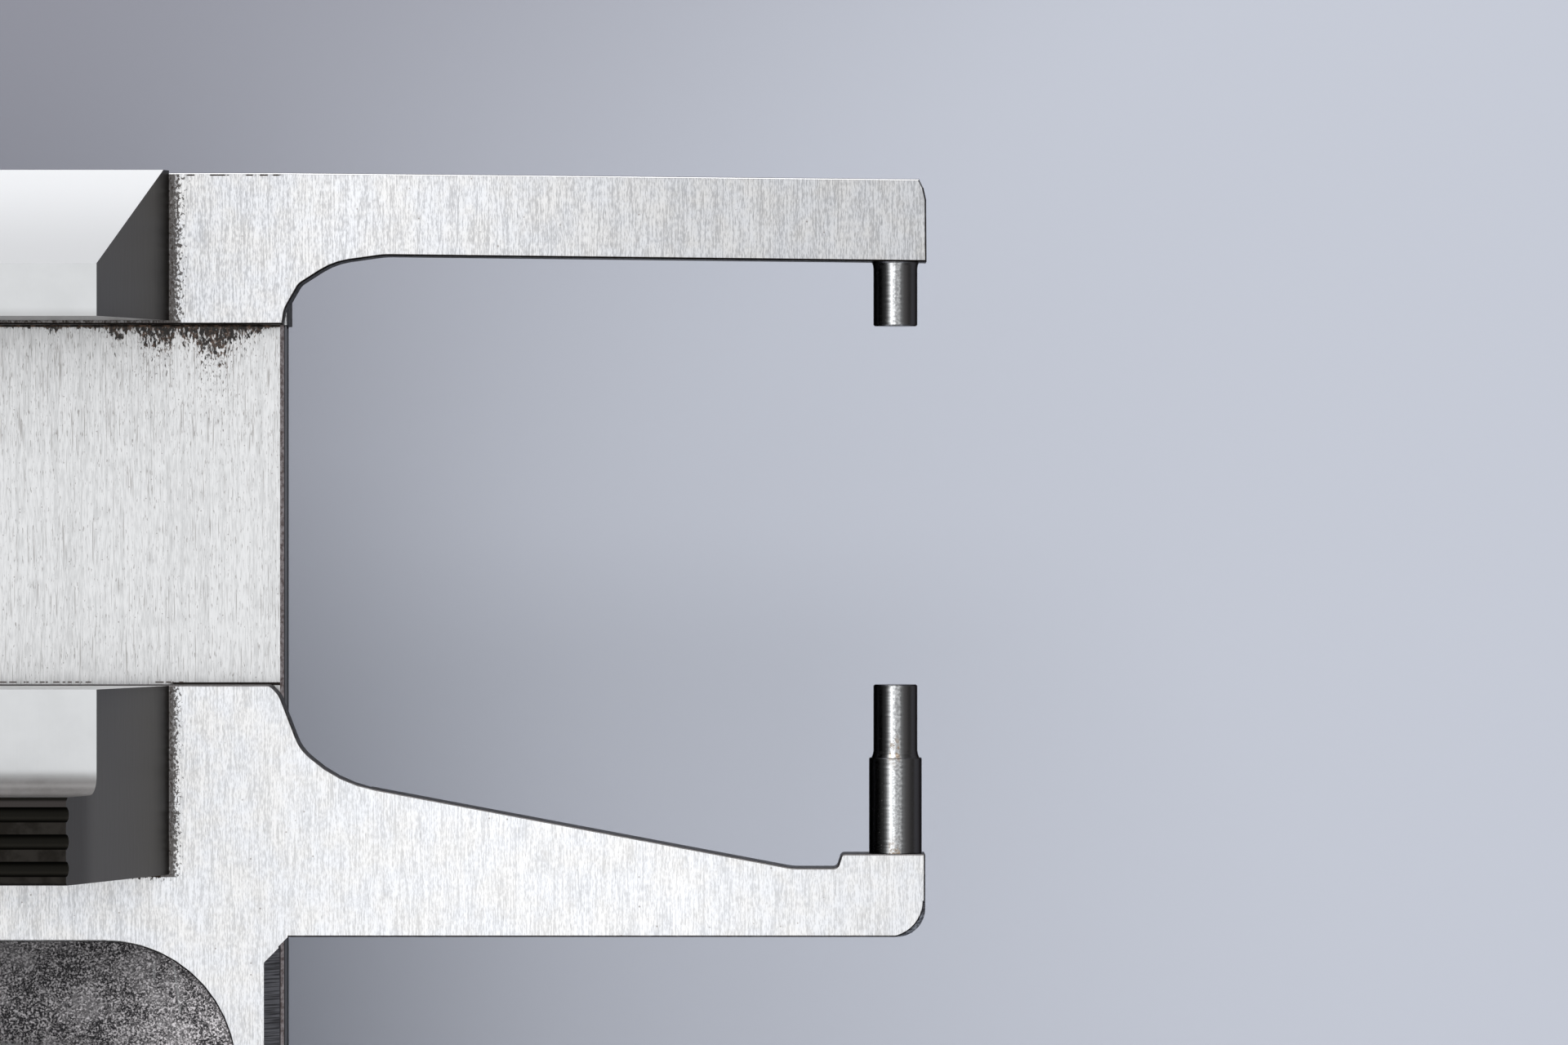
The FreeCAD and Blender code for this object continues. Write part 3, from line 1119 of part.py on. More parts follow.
def hairspring():
    inner, inner_start, inner_end = hairspring_side(0)
    outer, outer_start, outer_end = hairspring_side(HAIRSPRING_T)
    at_stud = Part.LineSegment(inner_end, outer_end).toShape()
    at_collet = Part.LineSegment(outer_start, inner_start).toShape()
    wire = Part.Wire(Part.__sortEdges__([inner, outer, at_stud, at_collet]))
    return Part.Face(wire).extrude(V(0, 0, HAIRSPRING_H))


def stud_place():
    return (COUNTER_X + hairspring_r(1.0) + HAIRSPRING_T / 2, 0.0)


def hairspring_collet():
    return tube(COUNTER_X, 0, HAIRSPRING_Z, HAIRSPRING_Z + COLLET_H, COLLET_R, ARBOR_R)


def hairspring_stud():
    return rod(*stud_place(), BRIDGE_Z, HAIRSPRING_Z + HAIRSPRING_H, STUD_R).cut(hairspring())


# ---- thumb lever -----------------------------------------------------------------------------------------
def place_lever(solid):
    """From the lever's own axes, level and about its pivot, to its rest place."""
    solid = turn(solid, LEVER_REST)
    solid.translate(V(*LEVER_PIVOT, 0))
    return solid


def lever_arm():
    z0, z1 = LEVER_Z, LEVER_Z + LEVER_T
    arm = LEVER_ARM_W / 2
    fork = LEVER_FORK_W / 2
    fork_end = math.hypot(LEVER_ARM, HALF_TRAVEL) + LEVER_FORK_PAST
    slot_half = DRIVE_PIN_R + LEVER_SLOT_GAP
    slot_start = LEVER_ARM - DRIVE_PIN_R - LEVER_SLOT_SPARE
    seat_end = -LEVER_OUT + PAD_LEN - 2 * PAD_PAST
    prongs = round_box(slot_start - LEVER_FORK_BACK, fork_end, -fork, fork, z0, z1, LEVER_FORK_CORNER_R)
    lever = rod(0, 0, z0, z1, LEVER_HUB_R)
    lever = lever.fuse([block(arm - LEVER_OUT, slot_start, -arm, arm, z0, z1), prongs,
                        rod(arm - LEVER_OUT, 0, z0, z1, arm),
                        block(-LEVER_OUT, seat_end, 0, PAD_SEAT_Y, z0, z1)])
    slot = block(slot_start, fork_end + PAST, -slot_half, slot_half, z0 - PAST, z1 + PAST)
    bore = rod(0, 0, z0 - PAST, z1 + PAST, LEVER_POST_R + BEARING_GAP)
    spring_pin = rod(SPRING_PIN_ALONG, 0, z0 - PAST, z1 + PAST, SPRING_PIN_R)
    return place_lever(lever.cut([slot, bore, spring_pin] + pad_rivet_rods(PAD_RIVET_LOW, PAST)))


def pad_rivet_rods(low, past):
    """Rods across the pad's seat, from low above the lever's centre line to past the pad's middle."""
    x = -LEVER_OUT - PAD_PAST + PAD_LEN / 2
    z = LEVER_Z + LEVER_T / 2
    length = PAD_SEAT_Y + PAD_T + past - low
    return [Part.makeCylinder(PAD_RIVET_R, length, V(x + side * PAD_RIVET_SPAN / 2, low, z), V(0, 1, 0))
            for side in (-1, 1)]


def thumb_pad():
    """Hollowed plate across the lever's outer end, grooved for the thumb."""
    x0 = -LEVER_OUT - PAD_PAST
    x1 = x0 + PAD_LEN
    y0 = PAD_SEAT_Y
    y1 = y0 + PAD_T
    xm = (x0 + x1) / 2
    zc = LEVER_Z + LEVER_T / 2
    z0, z1 = zc - PAD_W / 2, zc + PAD_W / 2
    pad = slab(outline((x0, y0), (x1, y0), (x1, y1 + PAD_CURL), ((xm, y1), (x0, y1 + PAD_CURL))), z0, z1)
    corners = [e for e in pad.Edges if abs(e.Vertexes[0].Y - e.Vertexes[-1].Y) > PAD_T / 2]
    pad = pad.makeFillet(PAD_CORNER_R, corners)
    arc_r = ((PAD_LEN / 2) ** 2 + PAD_CURL ** 2) / (2 * PAD_CURL)
    grooves = []
    for k in range(PAD_GROOVES):
        a = (k - (PAD_GROOVES - 1) / 2) * PAD_GROOVE_PITCH / arc_r
        y = y1 + arc_r * (1 - math.cos(a)) + PAD_GROOVE_LIFT
        grooves.append(rod(xm + arc_r * math.sin(a), y, z0 - PAST, z1 + PAST, PAD_GROOVE_R))
    return place_lever(pad.cut(grooves + pad_rivet_rods(0, PAST)))


def pad_rivets():
    rods = pad_rivet_rods(PAD_RIVET_LOW, PAD_RIVET_PROUD)
    return Part.makeCompound([place_lever(r) for r in rods])


def lever_pivot_post():
    """Shoulder post: the lever turns on it, the spring's coil sits round its thin end."""
    low = COVER_T + LEVER_POST_UP
    thin = LEVER_POST_THIN_R
    top = BACK_Z + POST_BITE
    return turned([(0, low), (thin - LEVER_POST_EDGE, low), (thin, low + LEVER_POST_EDGE),
                   (thin, LEVER_CLIP_Z), (LEVER_POST_R, LEVER_CLIP_Z), (LEVER_POST_R, BACK_Z),
                   (LEVER_TENON_R, BACK_Z), (LEVER_TENON_R, top), (0, top)], *LEVER_PIVOT)


def lever_clip():
    """Washer under the lever, sprung onto the post."""
    x, y = LEVER_PIVOT
    half = LEVER_CLIP_OPEN / 2
    ring = tube(x, y, LEVER_CLIP_Z - LEVER_CLIP_T, LEVER_CLIP_Z, LEVER_CLIP_R, LEVER_POST_THIN_R)
    return ring.cut(block(x - half, x + half, y - LEVER_CLIP_R - PAST, y, 0, FACE_Z))


def lever_spring_pin():
    return place_lever(rod(SPRING_PIN_ALONG, 0, LEVER_Z - SPRING_PIN_LOW, LEVER_Z + LEVER_T, SPRING_PIN_R))


def stop_post_place():
    """Post that the lever's arm meets at the full opening, with a hair to spare."""
    top = LEVER_PER_MM * HALF_TRAVEL
    off = LEVER_ARM_W / 2 + SPRING_POST_R + STOP_GAP
    x = -SLIDE_HALF - STOP_BESIDE - SPRING_POST_R
    along = (x - LEVER_PIVOT[0] + off * math.sin(top)) / math.cos(top)
    return x, LEVER_PIVOT[1] + along * math.sin(top) + off * math.cos(top)


def lever_stop_post():
    return rod(*stop_post_place(), LEVER_Z - STOP_LOW, BACK_Z + POST_BITE, SPRING_POST_R)


def anchor_post_place():
    reach, angle = SPRING_ANCHOR
    return (LEVER_PIVOT[0] + reach * math.cos(angle), LEVER_PIVOT[1] + reach * math.sin(angle))


def spring_anchor_post():
    """Post for the spring's fixed leg, outside the lever's sweep."""
    return rod(*anchor_post_place(), COVER_T + SPRING_POST_UP, BACK_Z + POST_BITE, SPRING_POST_R)


def torsion_spring():
    """Coil round the pivot post: its lower leg bears on the anchor post, its upper leg on the lever's pin."""
    reach, anchor = SPRING_ANCHOR
    fixed_lean = math.asin((SPRING_COIL_R + SPRING_WIRE_R + SPRING_POST_R) / reach)
    moving_lean = math.asin((SPRING_COIL_R + SPRING_WIRE_R + SPRING_PIN_R) / SPRING_PIN_ALONG)
    fixed_way = anchor - fixed_lean
    spread = LEVER_REST + moving_lean - fixed_way
    height = (SPRING_COILS + spread / (2 * math.pi)) * SPRING_PITCH
    fixed_len = reach * math.cos(fixed_lean) + SPRING_LEG_PAST
    moving_len = SPRING_PIN_ALONG * math.cos(moving_lean) + SPRING_LEG_PAST
    helix = Part.makeHelix(SPRING_PITCH, height, SPRING_COIL_R)
    section = Part.Wire(Part.makeCircle(SPRING_WIRE_R, V(SPRING_COIL_R, 0, 0), V(0, 1, 0)))
    coil = Part.Wire(helix.Edges).makePipeShell([section], True, True)
    fixed = Part.makeCylinder(SPRING_WIRE_R, fixed_len, V(SPRING_COIL_R, 0, 0), V(0, -1, 0))
    moving = Part.makeCylinder(SPRING_WIRE_R, moving_len, V(-SPRING_COIL_R, 0, height), V(0, -1, 0))
    spring = turn(coil.fuse([fixed, turn(moving, spread)]), fixed_way + math.pi / 2)
    top = LEVER_CLIP_Z - LEVER_CLIP_T - SPRING_GAP
    spring.translate(V(*LEVER_PIVOT, top - SPRING_WIRE_R - height))
    return spring


# ---- write the pieces ------------------------------------------------------------------------------------
NODES = (
    frame_plate, finger_rest, finger_rest_screws, lower_anvil_pin, neck_inlay, slide_bar, upper_jaw,
    upper_block, upper_anvil_pin, jaw_screws, drive_pin, slide_keeper, keeper_screws, slide_retainers,
    retainer_screws, case_ring, rear_cover, case_screws, dial_seat_ring, seat_ring_screws,
    bezel_snap_ring, dial_posts, inner_dial, scale_ring, crystal_gasket, crystal, bezel_ring, main_hand,
    hand_boss, counter_hand, pinion_arbor, centre_gear, counter_wheel, counter_arbor, arbor_bushings,
    movement_bridge, bridge_pillars, bridge_screws, hairspring, hairspring_collet, hairspring_stud,
    lever_arm, thumb_pad, pad_rivets, lever_pivot_post, lever_clip, lever_spring_pin, lever_stop_post,
    spring_anchor_post, torsion_spring)


def main():
    os.makedirs("parts", exist_ok=True)
    for make in NODES:
        shape = make()
        solids = shape.Solids
        if not solids or not all(s.isValid() and s.Volume > 0 for s in solids):
            raise ValueError(make.__name__ + " is not a valid solid")
        shape = solids[0] if len(solids) == 1 else Part.makeCompound(solids)
        shape.exportStep("parts/" + make.__name__ + ".step")
    print("counter axis", round(COUNTER_X, 3), "lever pivot", [round(v, 4) for v in LEVER_PIVOT],
          "lever turn per mm", round(LEVER_PER_MM, 6), "lever rest", round(math.degrees(LEVER_REST), 2))


main()
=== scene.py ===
from functools import cached_property
import json
import math

import bpy
from mathutils import Matrix, Vector


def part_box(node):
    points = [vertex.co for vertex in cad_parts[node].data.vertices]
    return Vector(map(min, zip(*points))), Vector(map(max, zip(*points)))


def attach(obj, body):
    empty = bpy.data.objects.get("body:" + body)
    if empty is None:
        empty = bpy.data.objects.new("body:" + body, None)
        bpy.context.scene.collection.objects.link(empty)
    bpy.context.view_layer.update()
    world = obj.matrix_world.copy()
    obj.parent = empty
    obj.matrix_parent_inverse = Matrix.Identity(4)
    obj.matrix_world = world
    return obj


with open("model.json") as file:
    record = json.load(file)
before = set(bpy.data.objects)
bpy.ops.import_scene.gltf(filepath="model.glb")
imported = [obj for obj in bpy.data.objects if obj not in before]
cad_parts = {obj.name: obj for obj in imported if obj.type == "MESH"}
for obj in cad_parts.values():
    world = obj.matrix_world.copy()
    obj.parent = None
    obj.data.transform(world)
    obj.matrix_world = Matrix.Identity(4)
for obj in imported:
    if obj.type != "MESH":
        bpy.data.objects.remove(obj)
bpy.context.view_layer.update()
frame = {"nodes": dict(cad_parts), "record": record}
NODES = frame["nodes"]

MM = 0.001

# ---- where things are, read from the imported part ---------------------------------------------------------
JAW_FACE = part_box("upper_jaw")[1][2]
UPPER_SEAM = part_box("upper_jaw")[0][1]
UPPER_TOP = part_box("upper_jaw")[1][1]
LOWER_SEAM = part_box("lower_anvil_pin")[1][1]
JAW_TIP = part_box("upper_jaw")[1][0]
ROOT_HALF = -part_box("upper_jaw")[0][0]
SLIDE_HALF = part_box("slide_bar")[1][0]
SLIDE_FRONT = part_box("slide_bar")[1][2]
BLOCK_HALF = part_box("upper_block")[1][0]
UPPER_BLOCK_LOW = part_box("upper_block")[0][1]
BLOCK_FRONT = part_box("upper_block")[1][2]
REST_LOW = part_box("finger_rest")[0][1]
REST_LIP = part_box("finger_rest")[1][2]
HOLLOW_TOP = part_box("finger_rest")[1][1] - 1.94 * MM     # where the rest's flat front turns into its hollow
INLAY_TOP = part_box("neck_inlay")[1][1]
FILED_X = JAW_TIP - 0.91 * MM        # axis of the crescent filed off the lower jaw's corner
FILED_Y = INLAY_TOP + 0.94 * MM
FILED_EDGE = (0.86 * MM, 0.835 * MM)     # distances from it between which the crescent's dark outline begins
LOWER_STEP = LOWER_SEAM - 1.5 * MM   # where the lower pin's thin end begins
LOWER_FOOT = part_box("lower_anvil_pin")[0][1] + 1.2 * MM      # and where it enters the jaw
DIAL_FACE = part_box("inner_dial")[1][2]
SCALE_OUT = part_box("crystal_gasket")[1][0] - 0.6 * MM
COUNTER_X = (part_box("counter_wheel")[0][0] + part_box("counter_wheel")[1][0]) / 2

# ---- graduations -----------------------------------------------------------------------------------------
SCALE_MARKS = 100            # tenths of a millimetre round the main scale
COUNTER_MM = 20              # whole millimetres on the small dial
COUNTER_STEP = math.radians(-12)     # the small hand turns against the clock
COUNTER_R = 4.6 * MM
MARK_SIZES = ("Short", "Middle", "Long", "Width")
SCALE_SIZES = (1.3 * MM, 1.9 * MM, 2.6 * MM, 0.16 * MM)
COUNTER_SIZES = (0.6 * MM, 1.0 * MM, 1.0 * MM, 0.1 * MM)
SCALE_FIGURE = 3.0 * MM      # height of the figures, and how far in from the marks' outer ends they stand
SCALE_FIGURE_IN = 4.3 * MM
COUNTER_FIGURE = 1.1 * MM
COUNTER_FIGURE_IN = 1.65 * MM
PRINT_LIFT = 0.02 * MM
PRINT_THICK = 0.03 * MM

# ---- camera and light ------------------------------------------------------------------------------------
CAMERA_SPOT = (19.296 * MM, 38.765 * MM, 210 * MM)
CAMERA_LENS = 202.5
CAMERA_SENSOR = 36.0
SKY_LOW = 0.35               # the studio's brightness at eye level
SKY_HIGH = 1.1               # and overhead
# floor colours: painted shade towards the far left corner, and the pale floor at the right
FLOOR_LEFT = (0.300, 0.300, 0.345)
FLOOR_RIGHT = (0.552, 0.572, 0.640)

# ---- tones -----------------------------------------------------------------------------------------------
# dirt colour, also used as painted shade in the corner at the blocks' feet
DIRT_AND_SHADE = (0.030, 0.021, 0.016)
WALL = (0.034, 0.029, 0.028)          # painted shade on side walls and broken edges; also the dark outline of the filed crescent
RIM = (0.30, 0.30, 0.30, 1.0)         # how much light a dark wall throws back at a grazing angle
DEEP = (0.020, 0.016, 0.014)          # dirt packed into a seam
WARM = (1.0, 0.98, 0.965)
COOL = (0.98, 0.98, 1.0)
JAW_TONES = ((0.0, 0.90), (0.30, 0.92), (0.42, 1.0), (0.55, 0.95), (0.75, 0.76), (1.0, 0.68))
FRAME_TONES = ((0.0, 0.95), (0.33, 0.90), (0.40, 0.94), (0.55, 1.0), (0.75, 1.0), (0.9, 0.90), (1.0, 0.86))
# painted highlight and shade across a pin's width, from its left edge to its right: bright left of the crown,
# dark at the sides
PIN_LIGHT_AND_SHADE = ((0.0, 0.02), (0.18, 0.022), (0.27, 0.035), (0.32, 0.12), (0.365, 0.50), (0.39, 1.0), (0.47, 1.0),
             (0.505, 0.50), (0.585, 0.42), (0.63, 0.13), (0.69, 0.08), (0.85, 0.075), (1.0, 0.07))

# ---- wear, dirt and painted shade ------------------------------------------------------------------------
GRIME_REACH = 1.6 * MM       # how far grime hangs below the upper jaw at most
# what share of that it hangs, by place from the slide's middle to its edge
GRIME_HANG = ((0.0, 0.05), (0.31, 0.05), (0.33, 0.30), (0.36, 0.06), (0.48, 0.10), (0.52, 0.42),
              (0.565, 0.15), (0.60, 0.62), (0.675, 0.68), (0.69, 0.18), (0.72, 0.55), (0.745, 0.42),
              (0.765, 0.95), (0.83, 1.0), (0.86, 0.45), (0.92, 0.26), (0.96, 0.08), (1.0, 0.02))
LINE_SOFT = 0.02 * MM                  # soft ends of dirt lines
SEAM_DIRT = 0.06 * MM                  # reach of the dirt above the upper jaw's seam
UPPER_SEAM_FADE = (ROOT_HALF, 7.7 * MM)        # across which it fades in from the jaw's edge
LOWER_SEAM_FADE = (5.25 * MM, 5.4 * MM)        # across which the lower seam's dirt fades in, outwards
BLOCK_FOOT_REACH = 0.36 * MM                 # reach of the painted shade and dirt beside the upper block
REST_FOOT_REACH = 0.28 * MM                  # beside the finger rest
REST_CRUMBS = 0.24 * MM                # and below it
REST_CRUMBS_FADE = (5.5 * MM, 5.2 * MM)
SCRAPES = ((1.0 * MM, 3.5 * MM), (4.9 * MM, 5.6 * MM))     # where a line is scraped above the lower seam
SIDE_BAND = (0.62 * MM, 1.15 * MM)     # pale band along the slide's sides, down from its front
BURR_DOWN = (0.045 * MM, 0.065 * MM)   # burr along the upper jaw's top, down from its edge
BURR_FADE = (8.0 * MM, 7.8 * MM)
SCRATCH = (5.505 * MM, 28.3 * MM)      # middle of the inlay's scratch
SCRATCH_HALF_LONG = 0.6 * MM
SCRATCH_HALF_WIDE = 0.015 * MM
SCRATCH_LEAN = 0.14                    # sideways for each step down


# ---- node helpers ----------------------------------------------------------------------------------------
MIX_A, MIX_B, MIX_RESULT = 6, 7, 2     # places of a mix node's colour sockets


def add_node(tree, kind, settings=None, **inputs):
    """A node in tree. settings are its properties; inputs go to sockets by name, or by place as i0, i1."""
    node = tree.nodes.new(kind)
    for name, value in (settings or {}).items():
        setattr(node, name, value)
    for name, value in inputs.items():
        by_place = name[0] == "i" and name[1:].isdigit()
        feed(tree, node.inputs[int(name[1:]) if by_place else name.replace("_", " ")], value)
    return node


def feed(tree, socket, value):
    """A link or a plain value into socket."""
    if isinstance(value, bpy.types.NodeSocket):
        tree.links.new(value, socket)
    else:
        socket.default_value = value


def maths(tree, operation, a, b=0.0):
    return add_node(tree, "ShaderNodeMath", {"operation": operation}, i0=a, i1=b).outputs[0]


def add(tree, a, b):
    return maths(tree, "ADD", a, b)


def times(tree, *factors):
    result = factors[0]
    for factor in factors[1:]:
        result = maths(tree, "MULTIPLY", result, factor)
    return result


def most(tree, *values):
    result = values[0]
    for value in values[1:]:
        result = maths(tree, "MAXIMUM", result, value)
    return result


def ramp(tree, value, low, high, out_low=0.0, out_high=1.0):
    """value from low to high becomes out_low to out_high, smoothly and no further."""
    node = add_node(tree, "ShaderNodeMapRange", {"interpolation_type": "SMOOTHSTEP"}, Value=value)
    for socket, end in (("From Min", low), ("From Max", high), ("To Min", out_low), ("To Max", out_high)):
        feed(tree, node.inputs[socket], end)
    return node.outputs["Result"]


def within(tree, value, low, high, soft):
    """1 from low to high, fading to 0 over soft outside them."""
    return times(tree, ramp(tree, value, low - soft, low), ramp(tree, value, high + soft, high))


def mix_colour(tree, factor, a, b, blend="MIX"):
    node = add_node(tree, "ShaderNodeMix", {"data_type": "RGBA", "blend_type": blend}, i0=factor)
    for place, value in ((MIX_A, a), (MIX_B, b)):
        feed(tree, node.inputs[place], (*value, 1.0) if isinstance(value, tuple) else value)
    return node.outputs[MIX_RESULT]


def stops(tree, value, points):
    """Colour by value from (position, grey or colour) points."""
    node = add_node(tree, "ShaderNodeValToRGB", Fac=value)
    elements = node.color_ramp.elements
    while len(elements) < len(points):
        elements.new(0.5)
    for element, (position, colour) in zip(elements, points):
        element.position = position
        element.color = (*colour, 1.0) if isinstance(colour, tuple) else (colour, colour, colour, 1.0)
    return node.outputs["Color"]


def new_group(name, inputs, outputs):
    """An empty shader group with (socket type, name, default) inputs and (socket type, name) outputs."""
    tree = bpy.data.node_groups.new(name, "ShaderNodeTree")
    for kind, label, default in inputs:
        socket = tree.interface.new_socket(label, in_out="INPUT", socket_type="NodeSocket" + kind)
        if default is not None:
            socket.default_value = default
    for kind, label in outputs:
        tree.interface.new_socket(label, in_out="OUTPUT", socket_type="NodeSocket" + kind)
    return tree, tree.nodes.new("NodeGroupInput").outputs, tree.nodes.new("NodeGroupOutput").inputs


def use_group(tree, group, **inputs):
    node = tree.nodes.new("ShaderNodeGroup")
    node.node_tree = group
    for name, value in inputs.items():
        feed(tree, node.inputs[name.replace("_", " ")], value)
    return node.outputs


# ---- shared effects --------------------------------------------------------------------------------------
def make_streaks():
    """Thin streaks along Y: how many a millimetre across, how long in millimetres; a soft value about 0.5."""
    tree, given, result = new_group("streaks", [
        ("Vector", "Place", None), ("Float", "Per mm", 12.0), ("Float", "Length mm", 4.0),
        ("Float", "Shift", 0.0)], [("Float", "Value")])
    parts = add_node(tree, "ShaderNodeSeparateXYZ", Vector=given["Place"]).outputs
    across = add(tree, times(tree, parts["X"], given["Per mm"], 1 / MM), given["Shift"])
    along = maths(tree, "DIVIDE", times(tree, parts["Y"], 1 / MM), given["Length mm"])
    spot = add_node(tree, "ShaderNodeCombineXYZ", X=across, Y=along, Z=times(tree, parts["Z"], 2 / MM))
    noise = add_node(tree, "ShaderNodeTexNoise", Vector=spot.outputs[0], Scale=1.0, Detail=2.0, Roughness=0.6)
    tree.links.new(noise.outputs["Fac"], result["Value"])
    return tree


def make_facing():
    """Masks from a normal: steep faces, faces to either side, and faces away from the dial or towards it."""
    tree, given, result = new_group("facing", [("Vector", "Normal", None)], [
        ("Float", "Steep"), ("Float", "Sideways"), ("Float", "Back"), ("Float", "Fore")])
    parts = add_node(tree, "ShaderNodeSeparateXYZ", Vector=given["Normal"]).outputs
    level = maths(tree, "ABSOLUTE", parts["Z"])
    side = maths(tree, "ABSOLUTE", parts["X"])
    tree.links.new(ramp(tree, level, 0.998, 0.975), result["Steep"])
    tree.links.new(ramp(tree, side, 0.3, 0.7), result["Sideways"])
    tree.links.new(ramp(tree, parts["Y"], 0.15, 0.5), result["Back"])
    tree.links.new(ramp(tree, parts["Y"], -0.15, -0.5), result["Fore"])
    return tree


def make_blotches():
    """Soft patches broken up by finer ones, from 0 to 1."""
    tree, given, result = new_group("blotches", [
        ("Vector", "Place", None), ("Float", "Per mm", 1.0), ("Float", "Low", 0.45),
        ("Float", "High", 0.7)], [("Float", "Value")])
    spot = add_node(tree, "ShaderNodeVectorMath", {"operation": "SCALE"}, Vector=given["Place"],
                    Scale=times(tree, given["Per mm"], 1 / MM))
    noise = add_node(tree, "ShaderNodeTexNoise", Vector=spot.outputs[0], Scale=1.0, Detail=4.0,
                     Roughness=0.65)
    tree.links.new(ramp(tree, noise.outputs["Fac"], given["Low"], given["High"]), result["Value"])
    return tree


def make_specks():
    """Small round specks: how many a millimetre, and the share of the places that have one."""
    tree, given, result = new_group("specks", [
        ("Vector", "Place", None), ("Float", "Per mm", 6.0), ("Float", "Share", 0.2),
        ("Float", "Size", 0.16)], [("Float", "Value")])
    spot = add_node(tree, "ShaderNodeVectorMath", {"operation": "SCALE"}, Vector=given["Place"],
                    Scale=times(tree, given["Per mm"], 1 / MM))
    cells = add_node(tree, "ShaderNodeTexVoronoi", Vector=spot.outputs[0], Scale=1.0)
    chance = add_node(tree, "ShaderNodeSeparateXYZ", Vector=cells.outputs["Color"]).outputs["X"]
    chosen = maths(tree, "LESS_THAN", chance, given["Share"])
    size = times(tree, given["Size"], add(tree, chance, 0.9))
    round_spot = ramp(tree, cells.outputs["Distance"], times(tree, size, 1.5), times(tree, size, 0.7))
    tree.links.new(times(tree, chosen, round_spot), result["Value"])
    return tree


def make_creep():
    """Grime that is solid at distance 0 and thins out to scattered streaks at Reach."""
    tree, given, result = new_group("creeping grime", [
        ("Vector", "Place", None), ("Float", "Distance", 0.0), ("Float", "Reach", 0.001),
        ("Float", "Per mm", 12.0), ("Float", "Length mm", 0.3), ("Float", "Shift", 0.0),
        ("Float", "Start", 0.30)], [("Float", "Value")])
    grain = use_group(tree, STREAKS, Place=given["Place"], Per_mm=given["Per mm"],
                      Length_mm=given["Length mm"], Shift=given["Shift"])["Value"]
    gone = maths(tree, "DIVIDE", given["Distance"], given["Reach"])
    limit = ramp(tree, gone, 0.0, 1.0, given["Start"], 0.74)
    edge = maths(tree, "SUBTRACT", grain, limit)
    solid = ramp(tree, edge, -0.04, 0.07)
    near = maths(tree, "LESS_THAN", given["Distance"], times(tree, given["Reach"], 1.2))
    outside = maths(tree, "GREATER_THAN", given["Distance"], -0.2 * MM)
    tree.links.new(times(tree, solid, near, outside), result["Value"])
    return tree


def make_rings():
    """A soft value that only changes with Distance."""
    tree, given, result = new_group("rings", [
        ("Float", "Distance", 0.0), ("Float", "Per mm", 9.0)], [("Float", "Value")])
    along = times(tree, given["Distance"], given["Per mm"], 1 / MM)
    noise = add_node(tree, "ShaderNodeTexNoise", {"noise_dimensions": "1D"}, W=along, Scale=1.0, Detail=2.0)
    tree.links.new(noise.outputs["Fac"], result["Value"])
    return tree


STREAKS = make_streaks()
FACING = make_facing()
BLOTCHES = make_blotches()
SPECKS = make_specks()
CREEP = make_creep()
RINGS = make_rings()


# ---- surfaces --------------------------------------------------------------------------------------------
class Surface:
    """A tree, the place and normal that its patterns read, and the patterns."""

    def __init__(self, tree, spot, normal):
        self.tree = tree
        self.spot = spot
        self.normal = normal
        place = self.split(spot)
        self.x, self.y, self.z = place["X"], place["Y"], place["Z"]
        self.across = maths(tree, "ABSOLUTE", self.x)

    @cached_property
    def facing(self):
        """Which way each place faces, as masks; added to the tree when it is first asked for."""
        return use_group(self.tree, FACING, Normal=self.normal)

    def split(self, vector):
        """The X, Y and Z of a vector, by name."""
        return add_node(self.tree, "ShaderNodeSeparateXYZ", Vector=vector).outputs

    def pattern(self, group, **inputs):
        return use_group(self.tree, group, Place=self.spot, **inputs)["Value"]

    def streaks(self, per_mm, length, shift=0.0):
        return self.pattern(STREAKS, Per_mm=per_mm, Length_mm=length, Shift=shift)

    def blotches(self, per_mm, low, high):
        return self.pattern(BLOTCHES, Per_mm=per_mm, Low=low, High=high)

    def specks(self, per_mm, share, size):
        return self.pattern(SPECKS, Per_mm=per_mm, Share=share, Size=size)

    def creep(self, distance, reach, per_mm, length, shift, start=0.30):
        return self.pattern(CREEP, Distance=distance, Reach=reach, Per_mm=per_mm, Length_mm=length,
                            Shift=shift, Start=start)

    def rings(self, distance, per_mm):
        return use_group(self.tree, RINGS, Distance=distance, Per_mm=per_mm)["Value"]

    def mix(self, factor, a, b, blend="MIX"):
        return mix_colour(self.tree, factor, a, b, blend)

    def effect(self, group, **inputs):
        """The outputs of a shared effect at this surface's place and normal."""
        return use_group(self.tree, group, Place=self.spot, Normal=self.normal, **inputs)


def new_effect(name, inputs, outputs):
    """A group with a surface of its own: (tree, its surface, its other inputs, its outputs)."""
    where = [("Vector", "Place", None), ("Vector", "Normal", None)]
    tree, given, result = new_group(name, where + inputs, outputs)
    return tree, Surface(tree, given["Place"], given["Normal"]), given, result


def weighted(tree, *parts):
    """The sum of (value, weight) parts."""
    total = times(tree, *parts[0])
    for part in parts[1:]:
        total = add(tree, total, times(tree, *part))
    return total


